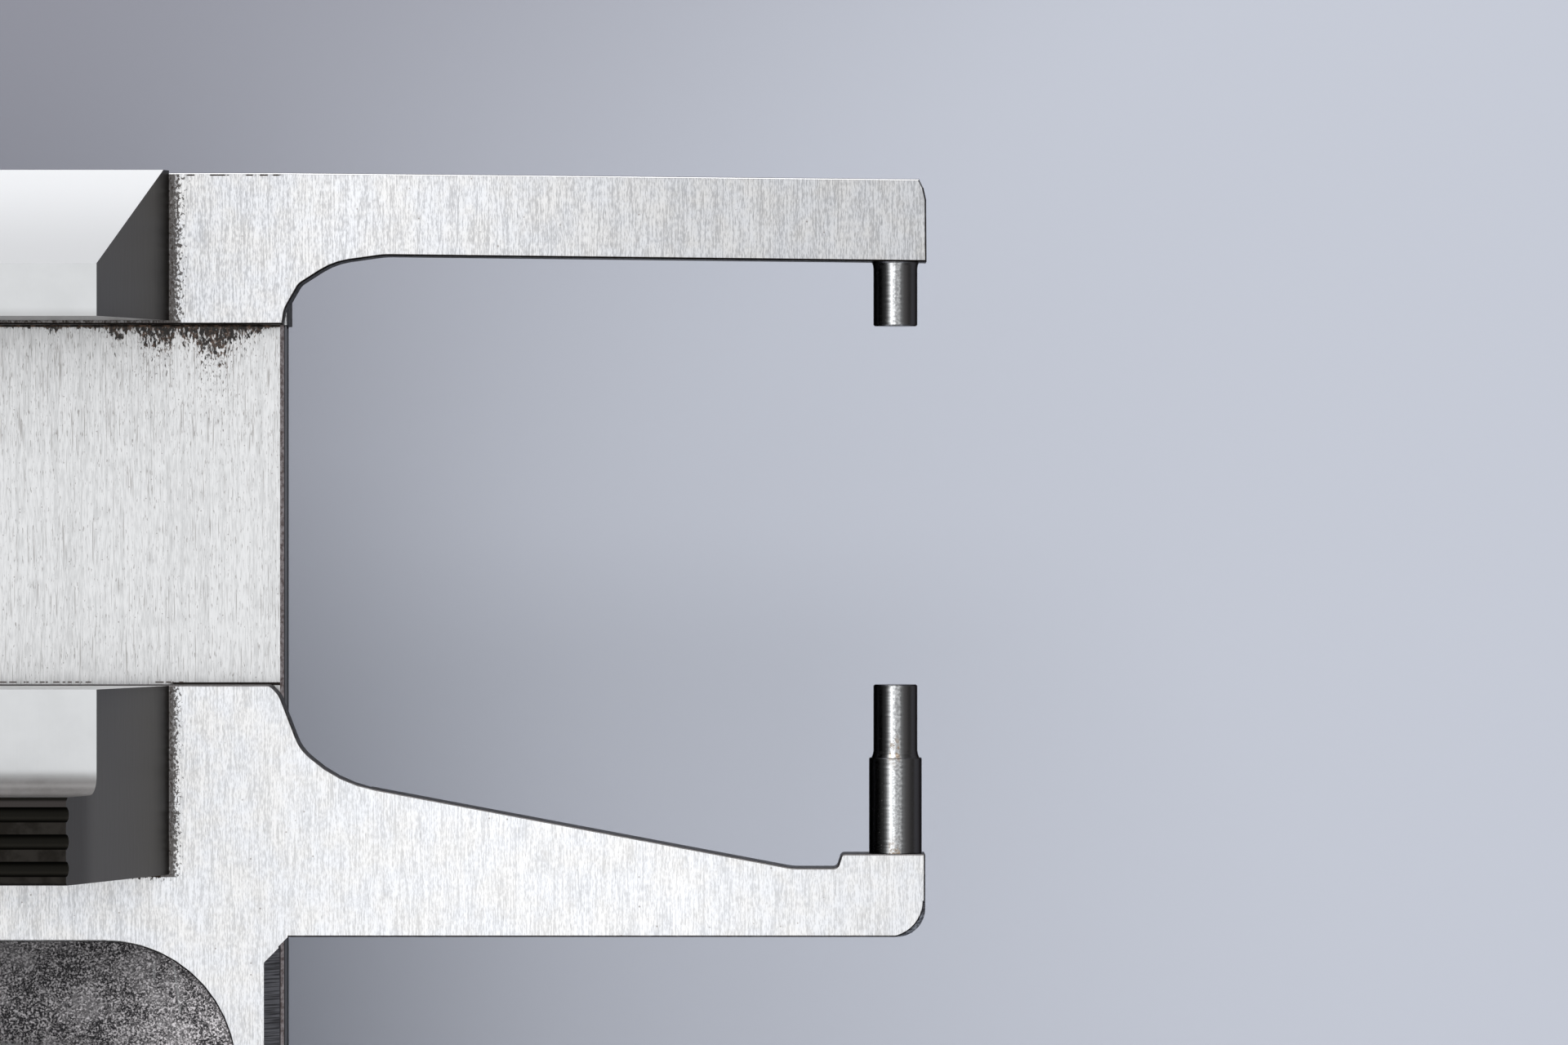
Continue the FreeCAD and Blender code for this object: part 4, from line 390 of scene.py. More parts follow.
def make_brushed_steel():
    """Steel ground along Y: fine short grain, a few darker dashes, tints and tiny pits."""
    tree, steel, given, result = new_effect("brushed steel", [
        ("Color", "Bright", None), ("Color", "Dull", None)], [("Color", "Colour"), ("Float", "Grain")])
    fine = steel.streaks(34.0, 0.13)
    middle = steel.streaks(26.0, 0.75, 7.0)
    broad = steel.streaks(7.0, 2.6, 19.0)
    grain = weighted(tree, (fine, 0.42), (middle, 0.40), (broad, 0.18))
    colour = steel.mix(ramp(tree, grain, 0.41, 0.57), given["Dull"], given["Bright"])
    tint = steel.mix(steel.blotches(1.1, 0.35, 0.65), WARM, COOL)
    colour = steel.mix(1.0, colour, tint, "MULTIPLY")
    dash = ramp(tree, steel.streaks(34.0, 0.45, 31.0), 0.64, 0.70, 0.0, 0.45)
    colour = steel.mix(dash, colour, steel.mix(1.0, given["Dull"], (0.45, 0.45, 0.45), "MULTIPLY"))
    pits = times(tree, steel.specks(5.0, 0.10, 0.10), 0.55)
    tree.links.new(steel.mix(pits, colour, (0.20, 0.15, 0.12)), result["Colour"])
    tree.links.new(grain, result["Grain"])
    return tree


def make_edge_dark():
    """How much painted shade side walls and broken edges take, a little unevenly."""
    tree, steel, given, result = new_effect("painted edge shade", [], [("Float", "Value")])
    uneven = ramp(tree, steel.blotches(3.5, 0.30, 0.55), 0.0, 1.0, 0.882, 0.98)
    tree.links.new(times(tree, steel.facing["Steep"], uneven), result["Value"])
    return tree


def make_foot_dirt():
    """Painted shade, solid in the corner along both sides of a block that stands on the jaw, with dirt crumbs
    scattered past it, from Low to High.
    """
    tree, steel, given, result = new_effect("foot shade and dirt", [
        ("Float", "Low", 0.0), ("Float", "High", 0.0), ("Float", "Reach", 0.0)], [("Float", "Value")])
    beside = maths(tree, "SUBTRACT", steel.across, BLOCK_HALF)
    rough = ramp(tree, steel.streaks(20.0, 0.08, 27.0), 0.35, 0.65, 0.72, 1.0)
    near, far = times(tree, given["Reach"], 0.26), times(tree, given["Reach"], 0.58)
    # painted shade: solid in the corner along the block's foot
    solid = times(tree, ramp(tree, beside, far, near), rough, 0.97)
    crumbs = times(tree, steel.creep(beside, times(tree, given["Reach"], 1.6), 17.0, 0.09, 5.0, 0.36), 0.88)
    low_end = ramp(tree, steel.y, add(tree, given["Low"], -LINE_SOFT), given["Low"])
    high_end = ramp(tree, steel.y, add(tree, given["High"], LINE_SOFT), given["High"])
    tree.links.new(times(tree, most(tree, solid, crumbs), low_end, high_end), result["Value"])
    return tree


def make_block_tones():
    """Tones of the two blocks: a ground front, and sides painted dark as shade, darkest at the foot, and
    mottled.
    """
    tree, steel, given, result = new_effect("block tones", [], [("Color", "Front"), ("Color", "Side")])
    front = steel.mix(steel.blotches(0.7, 0.3, 0.7), (0.62, 0.62, 0.62), (0.66, 0.66, 0.66))
    up = ramp(tree, steel.z, JAW_FACE, BLOCK_FRONT)
    mottle = add(tree, up, times(tree, steel.streaks(4.0, 0.9, 13.0), 0.15))
    side = stops(tree, mottle, ((0.0, (0.012, 0.010, 0.009)), (0.2, (0.044, 0.039, 0.035)),
                                (0.6, (0.040, 0.036, 0.036)), (1.0, (0.039, 0.036, 0.038))))
    tree.links.new(front, result["Front"])
    tree.links.new(side, result["Side"])
    return tree


BRUSHED = make_brushed_steel()
EDGE_SHADE = make_edge_dark()
FOOT_SHADE_AND_DIRT = make_foot_dirt()
BLOCK_TONES_AND_SHADE = make_block_tones()


# ---- finishes --------------------------------------------------------------------------------------------
class Finish(Surface):
    """A material and its shader."""

    def __init__(self, name, colour, metallic, roughness, **sockets):
        self.material = bpy.data.materials.new(name)
        self.material.use_nodes = True
        self.material.diffuse_color = (*colour, 1.0)
        tree = self.material.node_tree
        self.shader = tree.nodes["Principled BSDF"]
        plain = {"Base Color": (*colour, 1.0), "Metallic": metallic, "Roughness": roughness}
        plain.update((label.replace("_", " "), value) for label, value in sockets.items())
        for label, value in plain.items():
            self.shader.inputs[label].default_value = value
        where = add_node(tree, "ShaderNodeTexCoord").outputs
        super().__init__(tree, where["Object"], where["Normal"])

    def paint(self, colour, roughness=None, metallic=None, height=None, depth_mm=0.004):
        self.tree.links.new(colour, self.shader.inputs["Base Color"])
        for label, value in (("Roughness", roughness), ("Metallic", metallic)):
            if value is not None:
                self.tree.links.new(value, self.shader.inputs[label])
        if height is not None:
            bump = add_node(self.tree, "ShaderNodeBump", Height=height, Distance=depth_mm * MM, Strength=1.0)
            self.tree.links.new(bump.outputs["Normal"], self.shader.inputs["Normal"])
        return self.material


def jaw_finish():
    """Upper jaw: ground along the slide, greyer towards its tip, its far edge painted pale as a highlight,
    its underside, steep faces and edges painted dark as shade.
    """
    finish = Finish("jaw_steel", (0.76, 0.76, 0.765), 1.0, 0.34, Specular_Tint=RIM)
    tree = finish.tree
    steel = finish.effect(BRUSHED, Bright=(0.94, 0.94, 0.94, 1.0), Dull=(0.60, 0.60, 0.605, 1.0))
    grain = steel["Grain"]
    along = maths(tree, "DIVIDE", finish.x, JAW_TIP)
    colour = finish.mix(1.0, steel["Colour"], stops(tree, along, JAW_TONES), "MULTIPLY")
    above_seam = maths(tree, "SUBTRACT", finish.y, UPPER_SEAM)
    seam = times(tree, finish.creep(above_seam, SEAM_DIRT, 7.0, 1.0, 3.0),
                 ramp(tree, finish.x, *UPPER_SEAM_FADE))
    # painted shade and dirt along the upper block's foot
    block = finish.effect(FOOT_SHADE_AND_DIRT, Low=UPPER_BLOCK_LOW - 0.1 * MM, High=UPPER_TOP + MM,
                          Reach=BLOCK_FOOT_REACH)["Value"]
    below_top = maths(tree, "SUBTRACT", UPPER_TOP, finish.y)
    broken = ramp(tree, finish.streaks(3.0, 9.0, 17.0), 0.46, 0.52)
    burr = times(tree, within(tree, below_top, *BURR_DOWN, 0.012 * MM), broken,
                 ramp(tree, finish.x, *BURR_FADE))
    colour = finish.mix(most(tree, seam, block, burr), colour, DIRT_AND_SHADE)
    # painted shade on the jaw's steep faces and edges
    colour = finish.mix(finish.effect(EDGE_SHADE)["Value"], colour, WALL)
    # painted highlight: faces turned towards +Y, such as the far edge, painted pale
    colour = finish.mix(times(tree, finish.facing["Back"], 0.9), colour, (0.86, 0.86, 0.87))
    # painted shade: the underside, facing -Y, painted nearly black
    colour = finish.mix(finish.facing["Fore"], colour, (0.014, 0.011, 0.010))
    return finish.paint(colour, ramp(tree, grain, 0.3, 0.7, 0.42, 0.29), height=grain)


def frame_finish():
    """Frame and lower jaw: ground nearly white, with painted shade on steep faces, edges and faces turned
    towards +Y; the neck's bevels painted dark as shade and cross-ground; a grey filed tip.
    """
    finish = Finish("frame_steel", (0.84, 0.84, 0.84), 1.0, 0.34, Specular_Tint=RIM)
    tree = finish.tree
    steel = finish.effect(BRUSHED, Bright=(1.0, 1.0, 1.0, 1.0), Dull=(0.72, 0.72, 0.72, 1.0))
    grain = steel["Grain"]
    along = maths(tree, "DIVIDE", finish.x, JAW_TIP)
    colour = finish.mix(1.0, steel["Colour"], stops(tree, along, FRAME_TONES), "MULTIPLY")
    # painted shade and dirt along the finger rest's foot
    block = finish.effect(FOOT_SHADE_AND_DIRT, Low=REST_LOW - 0.05 * MM, High=LOWER_SEAM, Reach=REST_FOOT_REACH)["Value"]
    below_rest = maths(tree, "SUBTRACT", REST_LOW, finish.y)
    crumbs = times(tree, finish.creep(below_rest, REST_CRUMBS, 14.0, 0.10, 9.0, 0.45),
                   ramp(tree, finish.across, *REST_CRUMBS_FADE))
    colour = finish.mix(most(tree, block, crumbs), colour, DIRT_AND_SHADE)
    # painted shade on the frame's steep faces and edges
    colour = finish.mix(finish.effect(EDGE_SHADE)["Value"], colour, WALL)
    # painted shade: faces turned towards +Y, such as the lower jaw's edge at the seam, painted dark
    colour = finish.mix(times(tree, finish.facing["Back"], 0.7), colour, (0.20, 0.19, 0.19))
    turned = finish.split(finish.normal)
    on_front = ramp(tree, turned["Z"], 0.2, 0.35)
    bevel = times(tree, within(tree, maths(tree, "ABSOLUTE", turned["X"]), 0.76, 0.90, 0.04), on_front)
    # painted shade: the neck's sideways bevels painted dark, with cross-grinding lines
    colour = finish.mix(bevel, colour, cross_ground(finish))
    filed = times(tree, ramp(tree, turned["Y"], -0.2, -0.4), ramp(tree, turned["X"], 0.15, 0.3), on_front)
    colour = finish.mix(filed, colour, filed_grey(finish))
    return finish.paint(colour, ramp(tree, grain, 0.3, 0.7, 0.42, 0.29), height=grain)


def cross_ground(finish):
    """Steel ground across the neck, painted dark as shade, with its grinding lines."""
    tree = finish.tree
    spot = add_node(tree, "ShaderNodeCombineXYZ", X=times(tree, finish.x, 1.2 / MM),
                    Y=times(tree, finish.y, 24 / MM))
    cut = add_node(tree, "ShaderNodeTexNoise", Vector=spot.outputs[0], Scale=1.0, Detail=2.0).outputs["Fac"]
    return finish.mix(ramp(tree, cut, 0.38, 0.62), (0.065, 0.062, 0.062), (0.185, 0.18, 0.18))


def filed_grey(finish):
    """Speckled grey of the crescent filed off the lower tip, with a dark outline along its inner edge."""
    out = distance_from(finish, FILED_X, FILED_Y)
    grey = finish.mix(finish.blotches(13.0, 0.42, 0.58), (0.11, 0.113, 0.12), (0.44, 0.45, 0.46))
    return finish.mix(ramp(finish.tree, out, *FILED_EDGE), grey, WALL)


def slide_finish():
    """Slide: smooth and bright, thinly scratched along its travel, dirty at both seams, reddish chamfers
    painted darker as shade, sides painted dark as shade but for a pale band.
    """
    bright, dull = (0.78, 0.772, 0.768), (0.62, 0.614, 0.61)
    finish = Finish("slide_steel", bright, 1.0, 0.34, Specular_Tint=RIM)
    tree = finish.tree
    soft = weighted(tree, (finish.streaks(30.0, 0.35, 11.0), 0.62), (finish.streaks(9.0, 5.0, 13.0), 0.38))
    colour = finish.mix(ramp(tree, soft, 0.38, 0.60), dull, bright)
    below = maths(tree, "SUBTRACT", UPPER_SEAM, finish.y)
    colour = finish.mix(travel_marks(finish, below), colour, (0.20, 0.175, 0.16))
    colour, grime = upper_seam_grime(finish, colour, below)
    colour = lower_seam_dirt(finish, colour)
    # painted shade: steep faces and chamfers painted darker, in a reddish tone
    reddish = finish.mix(finish.blotches(9.0, 0.35, 0.65), (0.20, 0.155, 0.145), (0.52, 0.46, 0.45))
    colour = finish.mix(finish.facing["Steep"], colour, reddish)
    # painted shade: the side faces painted dark, but for a pale band down from the front
    down = maths(tree, "SUBTRACT", SLIDE_FRONT, finish.z)
    side = finish.mix(within(tree, down, *SIDE_BAND, 0.1 * MM), WALL, (0.42, 0.41, 0.41))
    on_side = ramp(tree, maths(tree, "ABSOLUTE", finish.split(finish.normal)["X"]), 0.85, 0.95)
    colour = finish.mix(on_side, colour, side)
    return finish.paint(colour, ramp(tree, grime, 0.1, 0.8, 0.33, 0.75), height=soft, depth_mm=0.002)


def travel_marks(finish, below):
    """Scratches and pits, thicker near the upper jaw."""
    tree = finish.tree
    worn = ramp(tree, below, 4.0 * MM, 1.0 * MM, 0.0, 0.03)
    long_marks = ramp(tree, add(tree, finish.streaks(30.0, 1.3, 43.0), worn), 0.62, 0.68, 0.0, 0.50)
    short_marks = ramp(tree, add(tree, finish.streaks(34.0, 0.22, 71.0), worn), 0.63, 0.69, 0.0, 0.65)
    pits = times(tree, finish.specks(8.0, 0.12, 0.12), 0.6)
    return most(tree, long_marks, short_marks, pits)


def upper_seam_grime(finish, colour, below):
    """(colour, mask) with grime hanging below the upper jaw: clumps, specks past them, a film and a line."""
    tree = finish.tree
    hang = stops(tree, maths(tree, "DIVIDE", finish.across, SLIDE_HALF), GRIME_HANG)
    reach = times(tree, hang, GRIME_REACH)
    clumps = times(tree, finish.creep(below, reach, 17.0, 0.15, 2.0, 0.36), 0.88)
    specks = times(tree, finish.creep(below, times(tree, reach, 2.4), 28.0, 0.13, 23.0, 0.57), 0.7)
    fringe = times(tree, finish.creep(below, 0.16 * MM, 7.0, 0.30, 31.0, 0.50), 0.9)
    line = within(tree, below, -0.02 * MM, 0.03 * MM, LINE_SOFT)
    grime = most(tree, clumps, specks, fringe, line)
    film = times(tree, ramp(tree, below, 1.0 * MM, 0.1 * MM, 0.0, 0.30), hang,
                 finish.blotches(3.0, 0.35, 0.65))
    colour = finish.mix(film, colour, (0.40, 0.35, 0.32))
    soil = finish.mix(finish.blotches(11.0, 0.45, 0.65), (0.030, 0.024, 0.020), (0.22, 0.14, 0.10))
    return finish.mix(grime, colour, soil), grime


def lower_seam_dirt(finish, colour):
    """Packed dirt along the lower seam beside the finger rest, and a broken line scraped just above it."""
    tree = finish.tree
    above = maths(tree, "SUBTRACT", finish.y, LOWER_SEAM)
    beside = ramp(tree, finish.across, *LOWER_SEAM_FADE)
    seam = times(tree, within(tree, above, -0.015 * MM, 0.035 * MM, LINE_SOFT), beside)
    colour = finish.mix(seam, colour, DEEP)
    dashes = ramp(tree, finish.streaks(6.0, 40.0, 5.0), 0.46, 0.50)
    stretches = most(tree, *(within(tree, finish.x, *scrape, LINE_SOFT) for scrape in SCRAPES))
    line = times(tree, within(tree, above, 0.04 * MM, 0.055 * MM, 0.014 * MM), dashes, stretches)
    return finish.mix(line, colour, (0.10, 0.08, 0.07))


def block_finish():
    """Upper block: grey ground front, a bevel painted near white and not metallic as a highlight, brightest
    at its foot, sides and underside painted dark as shade.
    """
    finish = Finish("block_steel", (0.86, 0.86, 0.86), 1.0, 0.38)
    tree = finish.tree
    tones = finish.effect(BLOCK_TONES_AND_SHADE)
    up = ramp(tree, finish.z, JAW_FACE, BLOCK_FRONT)
    # painted highlight: the bevel facing +Y painted near white, brightest at its foot, and made not metallic
    # below
    bevel = finish.mix(up, (0.99, 0.99, 0.99), (0.74, 0.74, 0.74))
    facing_light = finish.facing["Back"]
    colour = finish.mix(facing_light, tones["Front"], bevel)
    low_edge = ramp(tree, maths(tree, "SUBTRACT", finish.y, UPPER_BLOCK_LOW), 0.22 * MM, 0.0, 0.0, 0.35)
    colour = finish.mix(low_edge, colour, (0.30, 0.29, 0.28))
    # painted shade: the underside, facing -Y, painted dark
    colour = finish.mix(times(tree, finish.facing["Fore"], 0.9), colour, (0.10, 0.09, 0.085))
    # painted shade: the block's sideways faces
    colour = finish.mix(finish.facing["Sideways"], colour, tones["Side"])
    metal = ramp(tree, facing_light, 0.0, 1.0, 1.0, 0.0)
    return finish.paint(colour, ramp(tree, facing_light, 0.0, 1.0, 0.38, 0.55), metal,
                        height=finish.streaks(20.0, 1.2, 3.0), depth_mm=0.002)


def rest_finish():
    """Finger rest: bright front, its hollow matte and painted dark as shade, nearly black on its grooved lip
    with its grooves painted darker as shade, sides painted dark as shade.
    """
    finish = Finish("rest_steel", (0.86, 0.86, 0.86), 1.0, 0.38)
    tree = finish.tree
    tones = finish.effect(BLOCK_TONES_AND_SHADE)
    proud = maths(tree, "SUBTRACT", finish.z, BLOCK_FRONT)
    inward = maths(tree, "SUBTRACT", HOLLOW_TOP, finish.y)
    worn = finish.blotches(2.2, 0.35, 0.65)
    # painted shade: the hollow painted dark, darker deeper in, and made not metallic below
    hollow = finish.mix(worn, (0.155, 0.145, 0.14), (0.19, 0.18, 0.175))
    hollow = finish.mix(ramp(tree, inward, 0.30 * MM, 0.55 * MM), hollow, (0.09, 0.082, 0.078))
    sunk_in = ramp(tree, inward, -0.20 * MM, 0.16 * MM)
    colour = finish.mix(sunk_in, tones["Front"], hollow)
    lip = finish.mix(worn, (0.016, 0.014, 0.012), (0.028, 0.025, 0.022))
    lip = finish.mix(ramp(tree, inward, 0.74 * MM, 0.62 * MM), lip, (0.048, 0.042, 0.040))
    colour = finish.mix(ramp(tree, proud, 0.5 * MM, 1.2 * MM), colour, lip)
    # painted shade: the lip's grooves painted darker
    groove = ramp(tree, maths(tree, "SUBTRACT", REST_LIP, finish.z), 0.01 * MM, 0.05 * MM)
    sunk = times(tree, groove, ramp(tree, proud, 1.2 * MM, 1.5 * MM))
    colour = finish.mix(sunk, colour, (0.013, 0.012, 0.010))
    # painted shade: the rest's sideways faces
    colour = finish.mix(finish.facing["Sideways"], colour, tones["Side"])
    dull = times(tree, sunk_in, ramp(tree, finish.facing["Sideways"], 0.0, 1.0, 1.0, 0.0),
                 ramp(tree, proud, 0.6 * MM, 0.2 * MM))
    metal = ramp(tree, dull, 0.0, 1.0, 1.0, 0.0)
    return finish.paint(colour, ramp(tree, proud, 0.0, 1.0 * MM, 0.38, 0.5), metal,
                        height=finish.streaks(20.0, 1.2, 3.0), depth_mm=0.002)


def pin_finish():
    """Hardened pins: a narrow painted highlight left of the crown, the sides painted dark as shade with
    painted glints on the left, turning rings, rust at collar and foot.
    """
    finish = Finish("pin_steel", (0.5, 0.5, 0.51), 1.0, 0.20, Specular_Tint=RIM)
    tree = finish.tree
    lean = finish.split(finish.normal)["X"]
    rings = finish.rings(finish.y, 16.0)
    mottled = finish.blotches(17.0, 0.35, 0.65)
    sway = times(tree, maths(tree, "SUBTRACT", rings, 0.5), 0.10)
    place = add(tree, times(tree, add(tree, lean, sway), 0.5), 0.5)
    # painted highlight and shade across the pin, by the way its surface faces
    tone = stops(tree, place, PIN_LIGHT_AND_SHADE)
    speckled = times(tree, within(tree, lean, -0.10, 0.25, 0.06), ramp(tree, mottled, 0.0, 1.0, 0.5, 0.0))
    tone = finish.mix(speckled, tone, (0.06, 0.058, 0.06))
    # painted glints on the pin's left side
    glints = times(tree, finish.blotches(24.0, 0.62, 0.70), within(tree, lean, -0.85, -0.25, 0.1), 0.6)
    tone = finish.mix(glints, tone, (0.24, 0.22, 0.21))
    # painted shade, warm, on the pin's right side
    tone = finish.mix(ramp(tree, lean, 0.25, 0.45, 0.0, 0.45), tone, (0.060, 0.052, 0.052))
    from_step = maths(tree, "ABSOLUTE", maths(tree, "SUBTRACT", finish.y, LOWER_STEP))
    from_foot = maths(tree, "ABSOLUTE", maths(tree, "SUBTRACT", finish.y, LOWER_FOOT))
    near = ramp(tree, maths(tree, "MINIMUM", from_step, from_foot), 0.45 * MM, 0.05 * MM)
    rust = times(tree, near, finish.blotches(8.0, 0.42, 0.58), within(tree, lean, -0.22, 0.12, 0.08), 0.85)
    return finish.paint(finish.mix(rust, tone, (0.27, 0.19, 0.12)), ramp(tree, mottled, 0.0, 1.0, 0.16, 0.26),
                        height=rings, depth_mm=0.003)


def inlay_finish():
    """Dark plate: mottled at several sizes, darker at its top, one pale scratch."""
    finish = Finish("inlay_dark", (0.30, 0.30, 0.31), 0.6, 0.5)
    tree = finish.tree
    large = finish.blotches(1.0, 0.35, 0.65)
    middle = finish.blotches(9.0, 0.36, 0.64)
    fine = finish.blotches(25.0, 0.41, 0.59)
    level = weighted(tree, (large, 0.28), (middle, 0.14), (fine, 0.58))
    colour = finish.mix(ramp(tree, level, 0.12, 0.85), (0.026, 0.024, 0.027), (0.74, 0.70, 0.71))
    low = ramp(tree, maths(tree, "SUBTRACT", INLAY_TOP, finish.y), 0.0, 2.2 * MM, 0.55, 1.08)
    right = ramp(tree, finish.x, 3.0 * MM, 7.0 * MM, 1.0, 1.25)
    shade = times(tree, low, right)
    grey = add_node(tree, "ShaderNodeCombineXYZ", X=shade, Y=shade, Z=shade).outputs[0]
    colour = finish.mix(1.0, colour, grey, "MULTIPLY")
    faint = ramp(tree, finish.streaks(6.0, 2.0, 3.0), 0.69, 0.74, 0.0, 0.35)
    colour = finish.mix(most(tree, scratch(finish), faint), colour, (0.62, 0.62, 0.62))
    return finish.paint(colour, height=level, depth_mm=0.02)


def scratch(finish):
    """One leaning scratch on the inlay."""
    tree = finish.tree
    middle_x, middle_y = SCRATCH
    up = maths(tree, "SUBTRACT", finish.y, middle_y)
    slant = add(tree, finish.x, times(tree, up, SCRATCH_LEAN))
    line = within(tree, slant, middle_x - SCRATCH_HALF_WIDE, middle_x + SCRATCH_HALF_WIDE, LINE_SOFT)
    return times(tree, line, within(tree, up, -SCRATCH_HALF_LONG, SCRATCH_HALF_LONG, 0.1 * MM), 0.5)


def satin(name, colour, roughness):
    """Plain metal with a little uneven tone and grain."""
    finish = Finish(name, colour, 1.0, roughness)
    fine = finish.blotches(6.0, 0.2, 0.8)
    tone = finish.mix(finish.blotches(0.35, 0.25, 0.75), tuple(0.88 * c for c in colour), colour)
    rough = ramp(finish.tree, fine, 0.0, 1.0, roughness - 0.04, roughness + 0.06)
    return finish.paint(tone, rough, height=fine, depth_mm=0.003)


def distance_from(finish, x, y):
    """How far each place lies from the line along Z at x, y."""
    tree = finish.tree
    flat = add_node(tree, "ShaderNodeCombineXYZ", X=add(tree, finish.x, -x), Y=add(tree, finish.y, -y))
    length = add_node(tree, "ShaderNodeVectorMath", {"operation": "LENGTH"}, i0=flat.outputs[0])
    return length.outputs["Value"]


def turned_finish(name, colour, roughness):
    """Metal turned about the dial's axis: fine rings."""
    finish = Finish(name, colour, 1.0, roughness)
    rings = finish.rings(distance_from(finish, 0.0, 0.0), 9.0)
    tone = finish.mix(rings, tuple(0.86 * c for c in colour), colour)
    return finish.paint(tone, height=rings, depth_mm=0.003)


def glass_finish():
    finish = Finish("crystal_glass", (1.0, 1.0, 1.0), 0.0, 0.02, Transmission_Weight=1.0, IOR=1.45)
    smear = finish.blotches(0.15, 0.4, 0.8)
    finish.tree.links.new(ramp(finish.tree, smear, 0.0, 1.0, 0.01, 0.05), finish.shader.inputs["Roughness"])
    return finish.material


def enamel_finish(name, colour, roughness=0.35):
    finish = Finish(name, colour, 0.0, roughness)
    return finish.paint(finish.mix(finish.blotches(0.2, 0.2, 0.8), tuple(0.96 * c for c in colour), colour))


FINISHES = {
    "frame_steel": frame_finish(),
    "jaw_steel": jaw_finish(),
    "slide_steel": slide_finish(),
    "block_steel": block_finish(),
    "pin_steel": pin_finish(),
    "inlay_dark": inlay_finish(),
    "screw_steel": satin("screw_steel", (0.42, 0.43, 0.46), 0.25),
    "keeper_steel": satin("keeper_steel", (0.62, 0.62, 0.63), 0.36),
    "case_steel": turned_finish("case_steel", (0.70, 0.70, 0.71), 0.33),
    "seat_brass": satin("seat_brass", (0.72, 0.58, 0.32), 0.3),
    "bezel_chrome": turned_finish("bezel_chrome", (0.88, 0.88, 0.89), 0.14),
    "dial_white": enamel_finish("dial_white", (0.88, 0.88, 0.86)),
    "hand_black": enamel_finish("hand_black", (0.015, 0.015, 0.02), 0.3),
    "boss_brass": satin("boss_brass", (0.78, 0.62, 0.32), 0.2),
    "crystal_glass": glass_finish(),
    "gasket_rubber": enamel_finish("gasket_rubber", (0.03, 0.03, 0.03), 0.7),
    "gear_brass": satin("gear_brass", (0.76, 0.60, 0.32), 0.3),
    "bush_bronze": satin("bush_bronze", (0.62, 0.42, 0.24), 0.35),
    "arbor_steel": satin("arbor_steel", (0.58, 0.58, 0.60), 0.2),
    "spring_wire": satin("spring_wire", (0.30, 0.33, 0.42), 0.25),
    "pad_steel": satin("pad_steel", (0.80, 0.80, 0.81), 0.3),
}
PRINT_BLACK = enamel_finish("print_black", (0.01, 0.01, 0.01), 0.5)


def dress_nodes():
    """Each CAD node takes the finish of its material slot; the finger rest has its own."""
    rest = rest_finish()
    slots = {part["node"]: part["material_slot"] for part in frame["record"]["subparts"]}
    for node, piece in NODES.items():
        finish = rest if node == "finger_rest" else FINISHES[slots[node]]
        for place in piece.material_slots:
            place.material = finish
        if not piece.material_slots:
            piece.data.materials.append(finish)


# ---- dial printing ---------------------------------------------------------------------------------------
def marks_tree():
    """Radial marks on a circle: every fifth one longer and every tenth longer still."""
    tree = bpy.data.node_groups.new("radial marks", "GeometryNodeTree")
    for kind, label in (("Int", "Count"), ("Float", "Step"), ("Float", "Outer radius"), ("Float", "Short"),
                        ("Float", "Middle"), ("Float", "Long"), ("Float", "Width"), ("Float", "Thickness"),
                        ("Material", "Ink")):
        tree.interface.new_socket(label, in_out="INPUT", socket_type="NodeSocket" + kind)
    tree.interface.new_socket("Geometry", in_out="OUTPUT", socket_type="NodeSocketGeometry")
    given, end = tree.nodes.new("NodeGroupInput").outputs, tree.nodes.new("NodeGroupOutput")
    points = add_node(tree, "GeometryNodePoints", Count=given["Count"])
    index = add_node(tree, "GeometryNodeInputIndex").outputs[0]

    def every(step):
        return maths(tree, "COMPARE", maths(tree, "MODULO", index, step), 0.0)

    def choose(test, no, yes):
        return add(tree, times(tree, maths(tree, "SUBTRACT", 1.0, test), no), times(tree, test, yes))

    length = choose(every(10), choose(every(5), given["Short"], given["Middle"]), given["Long"])
    angle = maths(tree, "SUBTRACT", math.pi / 2, times(tree, index, given["Step"]))
    middle = maths(tree, "SUBTRACT", given["Outer radius"], times(tree, length, 0.5))
    spot = add_node(tree, "ShaderNodeCombineXYZ", X=times(tree, middle, maths(tree, "COSINE", angle)),
                    Y=times(tree, middle, maths(tree, "SINE", angle)))
    placed = add_node(tree, "GeometryNodeSetPosition", Geometry=points.outputs[0], Position=spot.outputs[0])
    bar = add_node(tree, "GeometryNodeMeshCube", Size=(1.0, 1.0, 1.0))
    size = add_node(tree, "ShaderNodeCombineXYZ", X=length, Y=given["Width"], Z=given["Thickness"])
    turn = add_node(tree, "FunctionNodeEulerToRotation",
                    Euler=add_node(tree, "ShaderNodeCombineXYZ", Z=angle).outputs[0])
    copies = add_node(tree, "GeometryNodeInstanceOnPoints", Points=placed.outputs[0],
                      Instance=bar.outputs["Mesh"], Rotation=turn.outputs[0], Scale=size.outputs[0])
    real = add_node(tree, "GeometryNodeRealizeInstances", Geometry=copies.outputs[0])
    inked = add_node(tree, "GeometryNodeSetMaterial", Geometry=real.outputs[0], Material=given["Ink"])
    tree.links.new(inked.outputs[0], end.inputs["Geometry"])
    return tree


